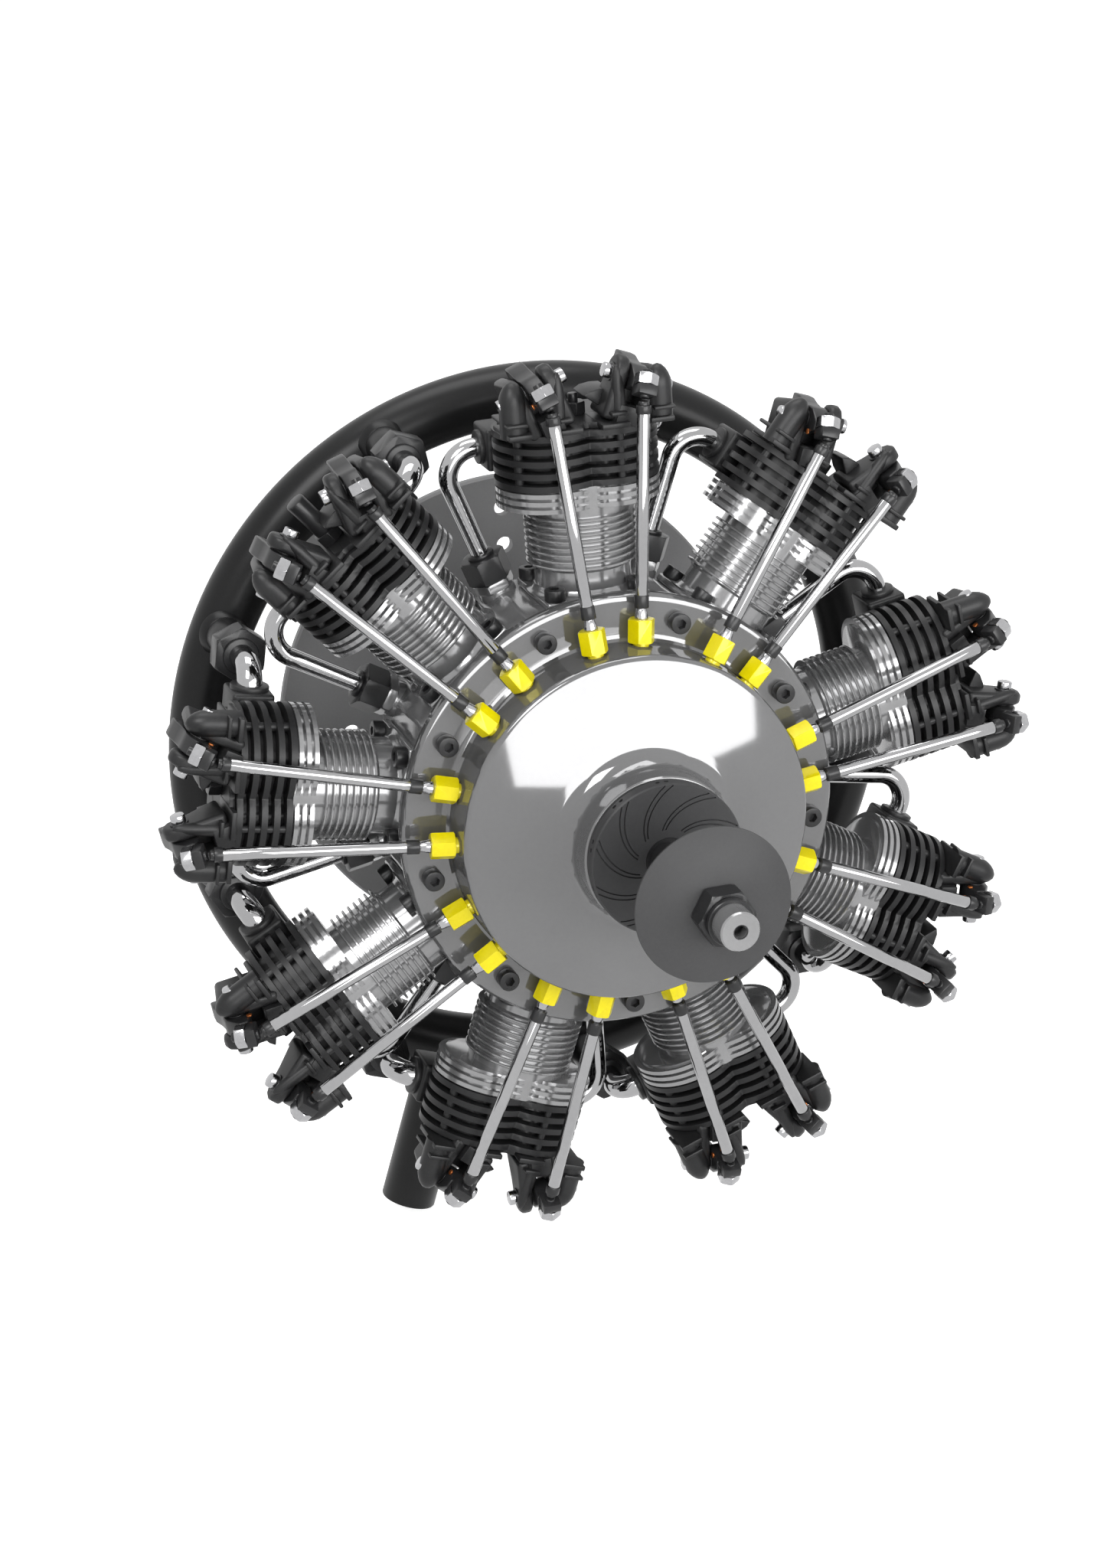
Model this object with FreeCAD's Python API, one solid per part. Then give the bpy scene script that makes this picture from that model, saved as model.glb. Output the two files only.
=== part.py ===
import FreeCAD, Part
import math
import os
from FreeCAD import Vector

# Nine-cylinder air-cooled radial engine for a large model or unmanned aircraft.
# Frame: crankshaft along Y with the propeller end towards -Y, cylinder 1 straight up along +Z,
# and the origin at the centre of the mounting plate's rear face. Millimetres and degrees.

# General layout
cylinder_count = 9
running_clearance = 0.05
seat_gap = 0.3

# Small round details repeat up to eighteen times, so they are made with this many flats
detail_sides = 8
fin_sides = 12
pipe_sides = 12
lobe_sides = 7
bend_steps = 4
ring_section_sides = 12

# Mounting plate and the rear housing that carries the engine on it
plate_radius = 88.0
plate_thickness = 4.0
plate_air_hole_radius = 24.0
plate_bolt_hole_radius = 3.0
plate_bolt_count = 4
outer_bolt_circle_radius = 76.0
inner_bolt_circle_radius = 62.0
leg_length = 48.0
leg_radius = 6.5
leg_circle_radius = 42.0
leg_count = 4
drum_radius = 52.0
drum_depth = 14.0
drum_wall = 5.0
rear_flange_radius = 62.0
rear_flange_thickness = 6.0
drum_chamber_wall = 14.0
drum_root_length = 4.0
drum_bevel = 3.0
leg_foot_flare = 2.0

# Crankcase, a nine-sided barrel with one flat pad for each cylinder
case_ahead_of_cylinders = 23.0
case_behind_cylinders = 26.0
pad_distance = 70.0
case_bore_radius = 58.0
bulkhead_thickness = 12.0
piston_sweep_radius = 44.0
intake_boss_radius = 6.5
intake_boss_reach = 78.5
intake_boss_overlap = 4.0

# Front cover: flange, tappet wall, shallow cone and neck
cover_flange_radius = 76.0
cover_flange_thickness = 5.0
tappet_wall_radius = 60.0
tappet_wall_thickness = 6.0
tappet_wall_length = 18.5
cover_front_wall = 3.5
cone_height = 10.5
neck_radius = 26.3
neck_length = 13.0
neck_flare_radius = 6.0
seal_lip = 1.5
seal_clearance = 1.0
flare_rear_share = 0.35
flare_front_share = 0.5

# Crankshaft and its bearings
journal_radius = 7.5
main_journal_radius = 8.5
front_bearing_outer_radius = 17.5
front_bearing_width = 11.0
main_bearing_outer_radius = 20.0
crank_throw = 13.0
web_radius = 21.0
web_thickness = 5.6
counterweight_radius = 40.0
counterweight_half_angle = 55.0
crankpin_radius = 5.0
web_to_case_gap = 0.5
crankpin_overhang = 1.5
gear_to_case_gap = 0.5
shoulder_width = 3.0
tip_chamfer = 0.6
shaft_end_radius = 6.2
shaft_tip_length = 8.0
shaft_centre_hole_radius = 2.1
shaft_centre_hole_depth = 6.0

# Propeller drive
drive_washer_radius = 26.0
drive_washer_thickness = 5.5
drive_washer_bevel = 1.5
drive_washer_edge = 0.6
washer_to_neck_gap = 0.5
nut_flat_margin = 3.0
propeller_hub_length = 42.0
dome_radius = 26.0
dome_rim_thickness = 1.5
dome_height = 5.5
dome_steps = 3
prop_nut_flats = 17.0
prop_nut_height = 8.0
lock_ring_radius = 7.6
lock_ring_height = 2.4

# Cam gear: crank pinion, idler cluster and internally toothed cam ring, all of one module
gear_module = 1.0
crank_gear_teeth = 22
idler_gear_teeth = 32
idler_pinion_teeth = 12
cam_gear_teeth = 66
gear_width = 4.0
tooth_addendum = 0.8
tooth_dedendum = 1.15
tooth_share_at_root = 0.54
tooth_share_at_tip = 0.22
idler_stud_radius = 2.0
stud_root_depth = 6.0
cam_base_radius = 46.0
cam_lobe_height = 2.6
cam_lobe_nose_radius = 9.0
cam_lobe_count = 4
cam_track_width = 3.6
cam_web_thickness = 1.7
cam_hub_radius = 11.0
cam_hub_length = 3.0
cam_web_margin = 3.0
cam_front_margin = 0.4
track_clearance = 0.2
first_lobe_angle = 45.0
exhaust_cam_phase = 26.0

# Cylinder barrels
bore_radius = 14.0
spigot_radius = 16.75
spigot_bottom = 59.0
base_flange_half_width = 18.0
base_flange_thickness = 3.0
fin_radius = 18.75
fin_root_radius = 16.2
fin_bottom = 82.4
fin_pitch = 2.36
barrel_fin_count = 8
jacket_bottom = 103.0
jacket_top = 110.5

# Cylinder heads: two overlapping round lobes, one round each valve
lobe_radius = 18.3
lobe_offset = 9.2
head_core_shrink = 4.5
head_fin_count = 5
head_fin_pitch = 4.2
head_fin_thickness = 2.4
deck_thickness = 1.8
port_offset_rear = 18.0
port_distance = 119.8
port_pad_depth = 8.0
pipe_socket_depth = 4.0
pipe_end_gap = 0.2
port_pad_height = 14.0
port_pad_reach = 27.5
port_pad_overlap = 4.0
pillar_radius = 2.25
pillar_offset = 10.3
pillar_forward = 18.5
pillar_bottom = 118.0
pillar_top = 146.0

# Rocker towers, tilted outwards; rocker sizes are seen along the rocker pin
tower_tilt = 21.0
pivot_offset = 18.05
pivot_distance = 144.05
pivot_forward = 13.4
slot_width = 7.0
slot_shift = -0.9
inner_cheek_thickness = 4.7
outer_cheek_thickness = 6.5
cheek_nose_radius = 6.5
cheek_rear_reach = 20.0
cheek_rear_rise = 2.5
tower_depth = 15.0
slot_floor = -9.0
rocker_pin_radius = 2.0
pin_head_radius = 2.9
pin_head_thickness = 2.6
rocker_thickness = 6.0
rocker_hub_radius = 4.1
rocker_front_reach = 11.6
rocker_rear_reach = 13.4
rocker_rear_rise = 3.4
rocker_pad_half = 2.4
rocker_waist = 2.4
adjuster_radius = 1.6
adjuster_lean = 23.2
adjuster_nut_rise = 1.5
adjuster_tail = 6.4
adjuster_tip_radius = 0.8
adjuster_tip_length = 1.2
adjuster_head = 3.1
lock_nut_flats = 6.4
lock_nut_height = 2.9
boss_half_width = 3.2
boss_height = 3.4
nut_seat_gap = 0.4
valve_lift = 1.8

# Valve springs and retainers
spring_radius = 2.8
retainer_radius = 3.3
retainer_thickness = 1.4
valve_stem_radius = 1.25
stem_above_retainer = 1.0

# Pushrods and their tappet guides
guide_offset = 9.0
guide_distance = 64.2
intake_guide_forward = 36.6
exhaust_guide_forward = 32.5
guide_nut_flats = 8.0
guide_nut_height = 8.0
guide_sleeve_radius = 3.2
guide_sleeve_depth = 11.0
tappet_radius = 1.7
pushrod_radius = 2.15
collar_radius = 2.55
collar_height = 3.6
collar_start = 10.4
search_step = 0.05
guide_hole_margin = 5.0

# Pipes, nuts and the exhaust collector
intake_pipe_radius = 3.25
intake_bend_radius = 9.7
intake_nut_flats = 14.0
exhaust_pipe_radius = 4.3
exhaust_bend_radius = 7.0
exhaust_nut_flats = 17.0
pipe_nut_height = 9.0
stub_radius = 6.5
ring_radius = 123.0
ring_tube_radius = 10.8
ring_setback = 70.0
exhaust_nut_setback = 38.0
exhaust_nut_offset = 34.5
tailpipe_angle = 199.0
tailpipe_radius = 10.0
tailpipe_bore_radius = 8.6
tailpipe_reach = 187.0
tailpipe_root_radius = 10.4
tailpipe_seat_start = 145.0

# Socket screws
screw_head_radius = 3.5
screw_head_height = 4.0
cover_screw_circle = 68.0
base_screw_spacing = 14.5

# Pistons and rods
piston_clearance = 0.1
piston_height = 19.0
pin_below_crown = 9.0
crown_thickness = 4.0
skirt_thickness = 3.0
wrist_pin_radius = 3.0
master_rod_length = 83.0
knuckle_circle = 15.0
knuckle_pin_radius = 2.5
rod_eye_radius = 4.4
rod_thickness = 4.0
master_blade_width = 6.0
link_blade_width = 5.0
blade_root_overlap = 0.5
master_hub_radius = 8.0
master_flange_radius = 19.6
master_flange_thickness = 2.0

# Plugs
plug_body_radius = 3.0
plug_hex_flats = 7.0
plug_hex_height = 4.0
plug_seat_depth = 5.0
plug_tip_radius = 1.6
plug_tip_height = 3.0
tall_plug_cylinder = 8
tall_plug_height = 15.0

# Carburettor behind the drum
carb_half_width = 14.0
carb_flange_half_width = 19.0
carb_flange_thickness = 4.0
carb_length = 36.0
carb_bore_radius = 7.0
carb_spigot_radius = 10.0
carb_spigot_length = 8.0
throttle_arm_length = 16.0
throttle_arm_thickness = 2.0
throttle_arm_half_width = 3.0
throttle_barrel_radius = 6.0
throttle_barrel_overhang = 3.0
throttle_barrel_share = 0.55
float_bowl_radius = 10.0
float_bowl_depth = 8.0
carb_flange_shorter = 2.0

# Stations along the crankshaft, worked out from the sizes above
plate_front = -plate_thickness
drum_rear = plate_front - leg_length
case_rear = drum_rear - drum_depth - rear_flange_thickness
cylinder_plane = case_rear - case_behind_cylinders
case_front = cylinder_plane - case_ahead_of_cylinders
flange_front = case_front - cover_flange_thickness
wall_front = flange_front - tappet_wall_length
cone_front = wall_front - cone_height
neck_front = cone_front - neck_length
washer_rear = neck_front - washer_to_neck_gap
washer_front = washer_rear - drive_washer_thickness
dome_rear = washer_front - propeller_hub_length
dome_front = dome_rear - dome_rim_thickness - dome_height
nut_front = dome_front - prop_nut_height
ring_front = nut_front - lock_ring_height
shaft_tip = ring_front - shaft_tip_length
port_plane = cylinder_plane + port_offset_rear
pivot_plane = cylinder_plane - pivot_forward
head_top = jacket_top + (head_fin_count - 1) * head_fin_pitch + head_fin_thickness
collector_plane = cylinder_plane + ring_setback
exhaust_nut_plane = cylinder_plane + exhaust_nut_setback
pipe_end = pipe_socket_depth - pipe_end_gap
Y = Vector(0, 1, 0)
Z = Vector(0, 0, 1)
pitch_angle = 360.0 / cylinder_count


def turned(shape, angle):
    """The shape turned about the crankshaft, clockwise as seen from ahead of the propeller."""
    copy = shape.copy()
    copy.rotate(Vector(0, 0, 0), Y, angle)
    return copy


def at_each_cylinder(shapes, start=0.0):
    return [turned(s, start + k * pitch_angle) for k in range(cylinder_count) for s in shapes]


def along_y(radius, y_from, y_to, x=0.0, z=0.0):
    low, high = sorted((y_from, y_to))
    return Part.makeCylinder(radius, high - low, Vector(x, low, z), Y)


def along_z(radius, z_from, z_to, x=0.0, y=0.0):
    return Part.makeCylinder(radius, z_to - z_from, Vector(x, y, z_from), Z)


def box(x_from, x_to, y_from, y_to, z_from, z_to):
    return Part.makeBox(x_to - x_from, y_to - y_from, z_to - z_from, Vector(x_from, y_from, z_from))


def revolved_y(points):
    """A solid of revolution about the crankshaft from (radius, y) points."""
    corners = [Vector(r, y, 0) for r, y in points]
    face = Part.Face(Part.makePolygon(corners + corners[:1]))
    return face.revolve(Vector(0, 0, 0), Y, 360)


def flat_outline(sides, corner, base, direction, side=None):
    """A regular polygon centred on base and square to direction; side points at the middle of one flat."""
    axis = Vector(direction).normalize()
    across = Vector(side) if side else Vector(1, 0, 0)
    across = (across - axis * across.dot(axis)).normalize()
    other = axis.cross(across)
    points = []
    for i in range(sides):
        a = math.radians((i + 0.5) * 360.0 / sides)
        points.append(base + across * (corner * math.cos(a)) + other * (corner * math.sin(a)))
    return Part.makePolygon(points + points[:1])


def prism(sides, corner, base, direction, length, side=None):
    axis = Vector(direction).normalize()
    return Part.Face(flat_outline(sides, corner, base, axis, side)).extrude(axis * length)


def round_detail(radius, base, direction, length, side=None):
    return prism(detail_sides, radius, base, direction, length, side)


def hole_corner(radius):
    """Corner radius of a hole with flats that a bar of this corner radius slides in."""
    return (radius + running_clearance) / math.cos(math.pi / detail_sides)


def hexagon(flats, height, base, direction, bore=0.0, side=None):
    """A hexagonal nut whose lower face is centred on base; side is a direction square to one flat."""
    solid = prism(6, flats / 2 / math.cos(math.radians(30)), base, direction, height, side)
    if bore:
        solid = solid.cut(round_detail(bore, base, direction, height, side))
    return solid


def gear_outline(teeth, inside=False, phase=0.0):
    """Straight-flanked teeth. On a ring gear the teeth point inwards and a gap lies at the phase angle."""
    pitch_radius = gear_module * teeth / 2
    root = pitch_radius + (tooth_dedendum if inside else -tooth_dedendum)
    tip = pitch_radius + (-tooth_addendum if inside else tooth_addendum)
    step = 360.0 / teeth
    points = []
    for i in range(teeth):
        centre = phase + step * (i + (0.5 if inside else 0.0))
        for radius, share in ((root, -tooth_share_at_root), (tip, -tooth_share_at_tip),
                              (tip, tooth_share_at_tip), (root, tooth_share_at_root)):
            a = math.radians(centre + share * step / 2)
            points.append(Vector(radius * math.sin(a), 0, radius * math.cos(a)))
    return Part.Face(Part.makePolygon(points + points[:1]))


def lobed_plate(z_from, z_to, shrink=0.0):
    """The twin-lobed outline of a cylinder head, extruded along the cylinder."""
    radius = lobe_radius - shrink
    sweep = 180 - math.degrees(math.acos(lobe_offset / radius))
    points = []
    for side in (1, -1):
        for i in range(lobe_sides):
            a = math.radians(-sweep + 2 * sweep * i / lobe_sides)
            points.append(Vector(side * (lobe_offset + radius * math.cos(a)),
                                 cylinder_plane + side * radius * math.sin(a), z_from))
    return Part.Face(Part.makePolygon(points + points[:1])).extrude(Z * (z_to - z_from))


# Tower frame on one side of a head: side is +1 clockwise and -1 anticlockwise


def tower_axes(side):
    tilt = math.radians(tower_tilt)
    outward = Vector(side * math.cos(tilt), 0, -math.sin(tilt))
    upward = Vector(side * math.sin(tilt), 0, math.cos(tilt))
    pivot = Vector(side * pivot_offset, pivot_plane, pivot_distance)
    return pivot, outward, upward


def tower_point(side, across, rearward, up):
    pivot, outward, upward = tower_axes(side)
    return pivot + outward * across + Y * rearward + upward * up


def tower_plate(side, across_from, across_to, outline):
    """A plate square to the rocker pin; the outline is made of (rearward, up) points."""
    corners = [tower_point(side, across_from, rearward, up) for rearward, up in outline]
    face = Part.Face(Part.makePolygon(corners + corners[:1]))
    return face.extrude(tower_axes(side)[1] * (across_to - across_from))


def tower_bar(side, radius, across_from, across_to):
    """A round bar along the rocker pin's line."""
    outward = tower_axes(side)[1]
    return round_detail(radius, tower_point(side, across_from, 0, 0), outward, across_to - across_from, Y)


slot_inner = slot_shift - slot_width / 2
slot_outer = slot_shift + slot_width / 2
tower_inner = slot_inner - inner_cheek_thickness
tower_outer = slot_outer + outer_cheek_thickness


def rocker_tower(side):
    """Two cheeks that carry the rocker pin, and the floor between them that the valve spring stands on."""
    nose = cheek_nose_radius
    slant = nose * math.sqrt(0.5)
    cheek = [(-nose, -tower_depth), (-nose, 0), (-slant, slant), (0, nose),
             (cheek_rear_reach, cheek_rear_rise), (cheek_rear_reach, -tower_depth)]
    floor = [(-nose, -tower_depth), (-nose, slot_floor), (cheek_rear_reach, slot_floor),
             (cheek_rear_reach, -tower_depth)]
    tower = tower_plate(side, tower_inner, slot_inner, cheek)
    tower = tower.fuse([tower_plate(side, slot_outer, tower_outer, cheek),
                        tower_plate(side, slot_inner, slot_outer, floor)])
    return tower.cut(tower_bar(side, rocker_pin_radius, tower_inner - 1, tower_outer + 1))


def cylinder_head():
    top = head_top + deck_thickness
    pieces = []
    for i in range(head_fin_count):
        z = jacket_top + i * head_fin_pitch
        pieces.append(lobed_plate(z, z + head_fin_thickness))
    for side in (-1, 1):
        near, far = sorted((side * (lobe_offset + port_pad_overlap), side * port_pad_reach))
        pieces.append(box(near, far, port_plane - port_pad_depth, port_plane + port_pad_depth,
                          port_distance - port_pad_height / 2, port_distance + port_pad_height / 2))
        pieces.append(rocker_tower(side))
        pillar_foot = Vector(side * pillar_offset, cylinder_plane - pillar_forward, pillar_bottom)
        pieces.append(round_detail(pillar_radius, pillar_foot, Z, pillar_top - pillar_bottom))
    head = lobed_plate(jacket_top, top, head_core_shrink).fuse(pieces)
    plug_foot = Vector(0, cylinder_plane, top - plug_seat_depth)
    plug_hole = round_detail(plug_body_radius, plug_foot, Z, plug_seat_depth)
    sockets = [pipe_socket(-1, intake_pipe_radius), pipe_socket(1, exhaust_pipe_radius)]
    return head.cut([plug_hole] + sockets)


def pipe_socket(side, radius):
    """The end of a pipe where it enters the head, also the shape of its hole there."""
    mouth = Vector(side * port_pad_reach, port_plane, port_distance)
    return prism(pipe_sides, radius, mouth, Vector(-side, 0, 0), pipe_socket_depth, Y)


def cylinder_barrel():
    """Spigot, square base flange, thin tapered cooling fins and the lobed upper jacket."""
    stations = [(spigot_radius, spigot_bottom), (spigot_radius, fin_bottom)]
    for i in range(barrel_fin_count):
        z = fin_bottom + i * fin_pitch
        stations += [(fin_radius, z + fin_pitch / 2), (fin_root_radius, z + fin_pitch)]
    stations.append((fin_root_radius, jacket_top))
    rings = [flat_outline(fin_sides, radius, Vector(0, cylinder_plane, z), Z) for radius, z in stations]
    barrel = Part.makeLoft(rings, True, True)
    w = base_flange_half_width
    flange_top = pad_distance + base_flange_thickness
    flange = box(-w, w, cylinder_plane - w, cylinder_plane + w, pad_distance, flange_top)
    bore = along_z(bore_radius, spigot_bottom - 1, jacket_top + 1, 0, cylinder_plane)
    return barrel.fuse([flange, lobed_plate(jacket_bottom, jacket_top)]).cut(bore)


# Pushrod line: from the tappet guide in the cover wall to the cup under the rocker's adjuster


def guide_point(side):
    forward = intake_guide_forward if side < 0 else exhaust_guide_forward
    return Vector(side * guide_offset, cylinder_plane - forward, guide_distance)


def adjuster_line(side):
    """Foot of the adjuster, its direction, and the centre of its lock nut, in one rocker plane."""
    lean = math.radians(adjuster_lean)
    upward = tower_axes(side)[2]
    direction = Y * math.sin(lean) + upward * math.cos(lean)
    nut_centre = tower_point(side, slot_shift, -rocker_front_reach, adjuster_nut_rise)
    return nut_centre - direction * adjuster_tail, direction, nut_centre


def pushrod_line(side):
    foot = adjuster_line(side)[0]
    start = guide_point(side)
    direction = (foot - start).normalize()
    return start, direction, foot


def tappet_foot_length(side):
    """How far the tappet reaches inwards from the guide's centre to ride just clear of the cam lobes."""
    start, direction, foot = pushrod_line(side)
    reach = 0.0
    lobe_top = cam_base_radius + cam_lobe_height + seat_gap + track_clearance
    while math.hypot((start - direction * reach).x, (start - direction * reach).z) > lobe_top:
        reach += search_step
    return reach


def pushrod(side):
    """Tappet stem, lower collar, tube and upper collar in one line."""
    start, direction, foot = pushrod_line(side)
    lean = direction.getAngle(adjuster_line(side)[1])
    top = (foot - start).Length - seat_gap - adjuster_tip_radius * math.sin(lean)
    below = tappet_foot_length(side)
    stem = round_detail(tappet_radius, start - direction * below, direction, below + collar_start, Y)
    lower = round_detail(collar_radius, start + direction * collar_start, direction, collar_height, Y)
    tube_start = collar_start + collar_height
    tube_end = top - collar_height
    tube_length = tube_end - tube_start
    tube = round_detail(pushrod_radius, start + direction * tube_start, direction, tube_length, Y)
    upper = round_detail(collar_radius, start + direction * tube_end, direction, collar_height, Y)
    return stem.fuse([lower, tube, upper])


def tappet_guide(side):
    """Hexagonal guide with the sleeve that seats it in the cover wall."""
    start, direction = pushrod_line(side)[:2]
    foot = start - direction * guide_sleeve_depth
    nut_foot = start - direction * (guide_nut_height / 2)
    sleeve = round_detail(guide_sleeve_radius, foot, direction, guide_sleeve_depth, Y)
    nut = hexagon(guide_nut_flats, guide_nut_height, nut_foot, direction, 0, Y)
    length = guide_sleeve_depth + guide_nut_height
    bore = round_detail(hole_corner(tappet_radius), foot, direction, length, Y)
    return nut.fuse(sleeve).cut(bore)


def guide_hole(side):
    start, direction, foot = pushrod_line(side)
    depth = guide_sleeve_depth + guide_hole_margin
    return round_detail(guide_sleeve_radius, start - direction * depth, direction, depth, Y)


def rocker_outline():
    """The arm seen along its pin as (rearward, up) points; the adjuster's boss is its front end."""
    lean = math.radians(adjuster_lean)
    along = Vector(math.sin(lean), math.cos(lean), 0)
    across = Vector(math.cos(lean), -math.sin(lean), 0)
    seat = Vector(-rocker_front_reach, adjuster_nut_rise, 0) - along * (lock_nut_height / 2)
    nut_clear = lock_nut_flats / 2 / math.cos(math.radians(30)) + nut_seat_gap
    boss = [seat - across * boss_half_width, seat - across * boss_half_width - along * boss_height,
            seat + across * boss_half_width - along * boss_height]
    behind_nut = [seat + across * nut_clear + along * lock_nut_height, seat + across * nut_clear]
    hub = rocker_hub_radius
    waist = rocker_waist
    pad_front = rocker_rear_reach - rocker_pad_half
    pad_rear = rocker_rear_reach + rocker_pad_half
    pad_low = rocker_rear_rise - rocker_pad_half
    pad_high = rocker_rear_rise + rocker_pad_half
    pad = [(pad_front, pad_low), (pad_rear, pad_low), (pad_rear, pad_high), (pad_front, pad_high)]
    outline = [(p.x, p.y) for p in boss] + [(-waist, -hub), (waist, -hub)]
    return outline + pad + [(waist, hub), (-waist, hub)] + [(p.x, p.y) for p in behind_nut]


def rocker(side):
    """Rocker arm, adjuster screw and lock nut: three solids that move as one."""
    inner = slot_shift - rocker_thickness / 2
    outer = slot_shift + rocker_thickness / 2
    arm = tower_plate(side, inner, outer, rocker_outline())
    foot, direction, nut_centre = adjuster_line(side)
    outward = tower_axes(side)[1]
    nut_foot = nut_centre - direction * (lock_nut_height / 2)
    nut = hexagon(lock_nut_flats, lock_nut_height, nut_foot, direction, adjuster_radius, outward)
    tip = foot + direction * adjuster_tip_length
    top = foot + direction * (adjuster_tail + adjuster_head)
    stations = [(adjuster_tip_radius, foot), (adjuster_radius, tip), (adjuster_radius, top)]
    rings = [flat_outline(detail_sides, r, p, direction, outward) for r, p in stations]
    screw = Part.makeLoft(rings, True, True)
    pin_hole_radius = rocker_pin_radius + running_clearance
    pin_bore = Part.makeCylinder(pin_hole_radius, rocker_thickness, tower_point(side, inner, 0, 0), outward)
    return [arm.cut([pin_bore, screw]), screw, nut]


def rocker_pin(side):
    shank = tower_bar(side, rocker_pin_radius, tower_inner, tower_outer)
    heads = [tower_bar(side, pin_head_radius, tower_inner - pin_head_thickness, tower_inner),
             tower_bar(side, pin_head_radius, tower_outer, tower_outer + pin_head_thickness)]
    return shank.fuse(heads)


def valve_spring(side):
    """Spring, retainer and stem tip of one valve, standing on the floor of the rocker slot."""
    upward = tower_axes(side)[2]
    tip = rocker_rear_rise - rocker_pad_half - valve_lift - seat_gap
    base = tower_point(side, slot_shift, rocker_rear_reach, slot_floor)
    spring_height = tip - stem_above_retainer - retainer_thickness - slot_floor
    spring = round_detail(spring_radius, base, upward, spring_height, Y)
    retainer = round_detail(retainer_radius, base + upward * spring_height, upward, retainer_thickness, Y)
    stem = round_detail(valve_stem_radius, base, upward, tip - slot_floor, Y)
    return spring.fuse([retainer, stem])


def pipe_nut(flats, base, direction, pipe_radius, side):
    """A union nut whose hole has the pipe's own flats."""
    nut = hexagon(flats, pipe_nut_height, base, direction, 0, side)
    return nut.cut(prism(pipe_sides, pipe_radius, base, direction, pipe_nut_height, side))


def intake_nut():
    nut = pipe_nut(intake_nut_flats, Vector(0, port_plane, intake_boss_reach), Z, intake_pipe_radius, Y)
    return turned(nut, -pitch_angle / 2)


def exhaust_nut():
    base = Vector(exhaust_nut_offset, exhaust_nut_plane - pipe_nut_height / 2, port_distance)
    return pipe_nut(exhaust_nut_flats, base, Y, exhaust_pipe_radius, Z)


def bent_pipe(radius, start, corner, end, bend_radius):
    """A pipe of flats along two straight runs and the arc between them that is tangent to both."""
    into = (corner - start).normalize()
    out = (end - corner).normalize()
    turn = into.getAngle(out)
    tangent = bend_radius * math.tan(turn / 2)
    square = into.cross(out).normalize()
    inward = square.cross(into)
    centre = corner - into * tangent + inward * bend_radius
    sections = [flat_outline(pipe_sides, radius, start, into, square)]
    for i in range(bend_steps + 1):
        a = turn * i / bend_steps
        heading = into * math.cos(a) + inward * math.sin(a)
        place = centre + (into * math.sin(a) - inward * math.cos(a)) * bend_radius
        sections.append(flat_outline(pipe_sides, radius, place, heading, square))
    sections.append(flat_outline(pipe_sides, radius, end, out, square))
    return Part.makeLoft(sections, True, True)


def intake_tube():
    """From the crankcase boss straight out along the gap, then round into the head's anticlockwise side."""
    gap = math.radians(-pitch_angle / 2)
    ray = Vector(math.sin(gap), 0, math.cos(gap))
    start = ray * intake_boss_reach + Y * port_plane
    corner = ray * (port_distance / math.cos(gap)) + Y * port_plane
    end = Vector(pipe_end - port_pad_reach, port_plane, port_distance)
    return bent_pipe(intake_pipe_radius, start, corner, end, intake_bend_radius)


def exhaust_tube():
    """From the head's clockwise side outwards, then back into the nut on the collector's stub."""
    start = Vector(port_pad_reach - pipe_end, port_plane, port_distance)
    corner = Vector(exhaust_nut_offset, port_plane, port_distance)
    end = Vector(exhaust_nut_offset, exhaust_nut_plane + pipe_nut_height / 2, port_distance)
    return bent_pipe(exhaust_pipe_radius, start, corner, end, exhaust_bend_radius)


def collector_ring():
    """Exhaust ring with one stub towards each head and a single tailpipe."""
    points = []
    for i in range(ring_section_sides):
        a = math.radians((i + 0.5) * 360.0 / ring_section_sides)
        outwards, rearwards = ring_tube_radius * math.cos(a), ring_tube_radius * math.sin(a)
        points.append((ring_radius + outwards, collector_plane + rearwards))
    stub_start = exhaust_nut_plane + pipe_nut_height / 2
    base = Vector(exhaust_nut_offset, stub_start, port_distance)
    stub = prism(pipe_sides, stub_radius, base, Y, collector_plane - stub_start, Z)
    root = along_z(tailpipe_root_radius, ring_radius, tailpipe_seat_start, 0, collector_plane)
    pipe = along_z(tailpipe_radius, tailpipe_seat_start, tailpipe_reach, 0, collector_plane)
    bore = along_z(tailpipe_bore_radius, ring_radius + ring_tube_radius, tailpipe_reach, 0, collector_plane)
    tail = [turned(s, tailpipe_angle) for s in (root, pipe)]
    ring = revolved_y(points).fuse(at_each_cylinder([stub]) + tail)
    return ring.cut(turned(bore, tailpipe_angle))


def crankcase():
    corner = pad_distance / math.cos(math.radians(pitch_angle / 2))
    case = prism(cylinder_count, corner, Vector(0, case_front, 0), Y, case_rear - case_front, Z)
    boss_foot = Vector(0, port_plane, pad_distance - intake_boss_overlap)
    boss_length = intake_boss_reach - pad_distance + intake_boss_overlap
    boss = prism(pipe_sides, intake_boss_radius, boss_foot, Z, boss_length, Y)
    case = case.fuse(at_each_cylinder([boss], -pitch_angle / 2) + [idler_stud()])
    inside = case_front + bulkhead_thickness
    spigot_foot = Vector(0, cylinder_plane, piston_sweep_radius)
    spigot_hole = prism(fin_sides, spigot_radius, spigot_foot, Z, pad_distance - piston_sweep_radius)
    cuts = [along_y(case_bore_radius, inside, case_rear),
            along_y(main_bearing_outer_radius, case_front, inside)]
    return case.cut(cuts + at_each_cylinder([spigot_hole]))


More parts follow.
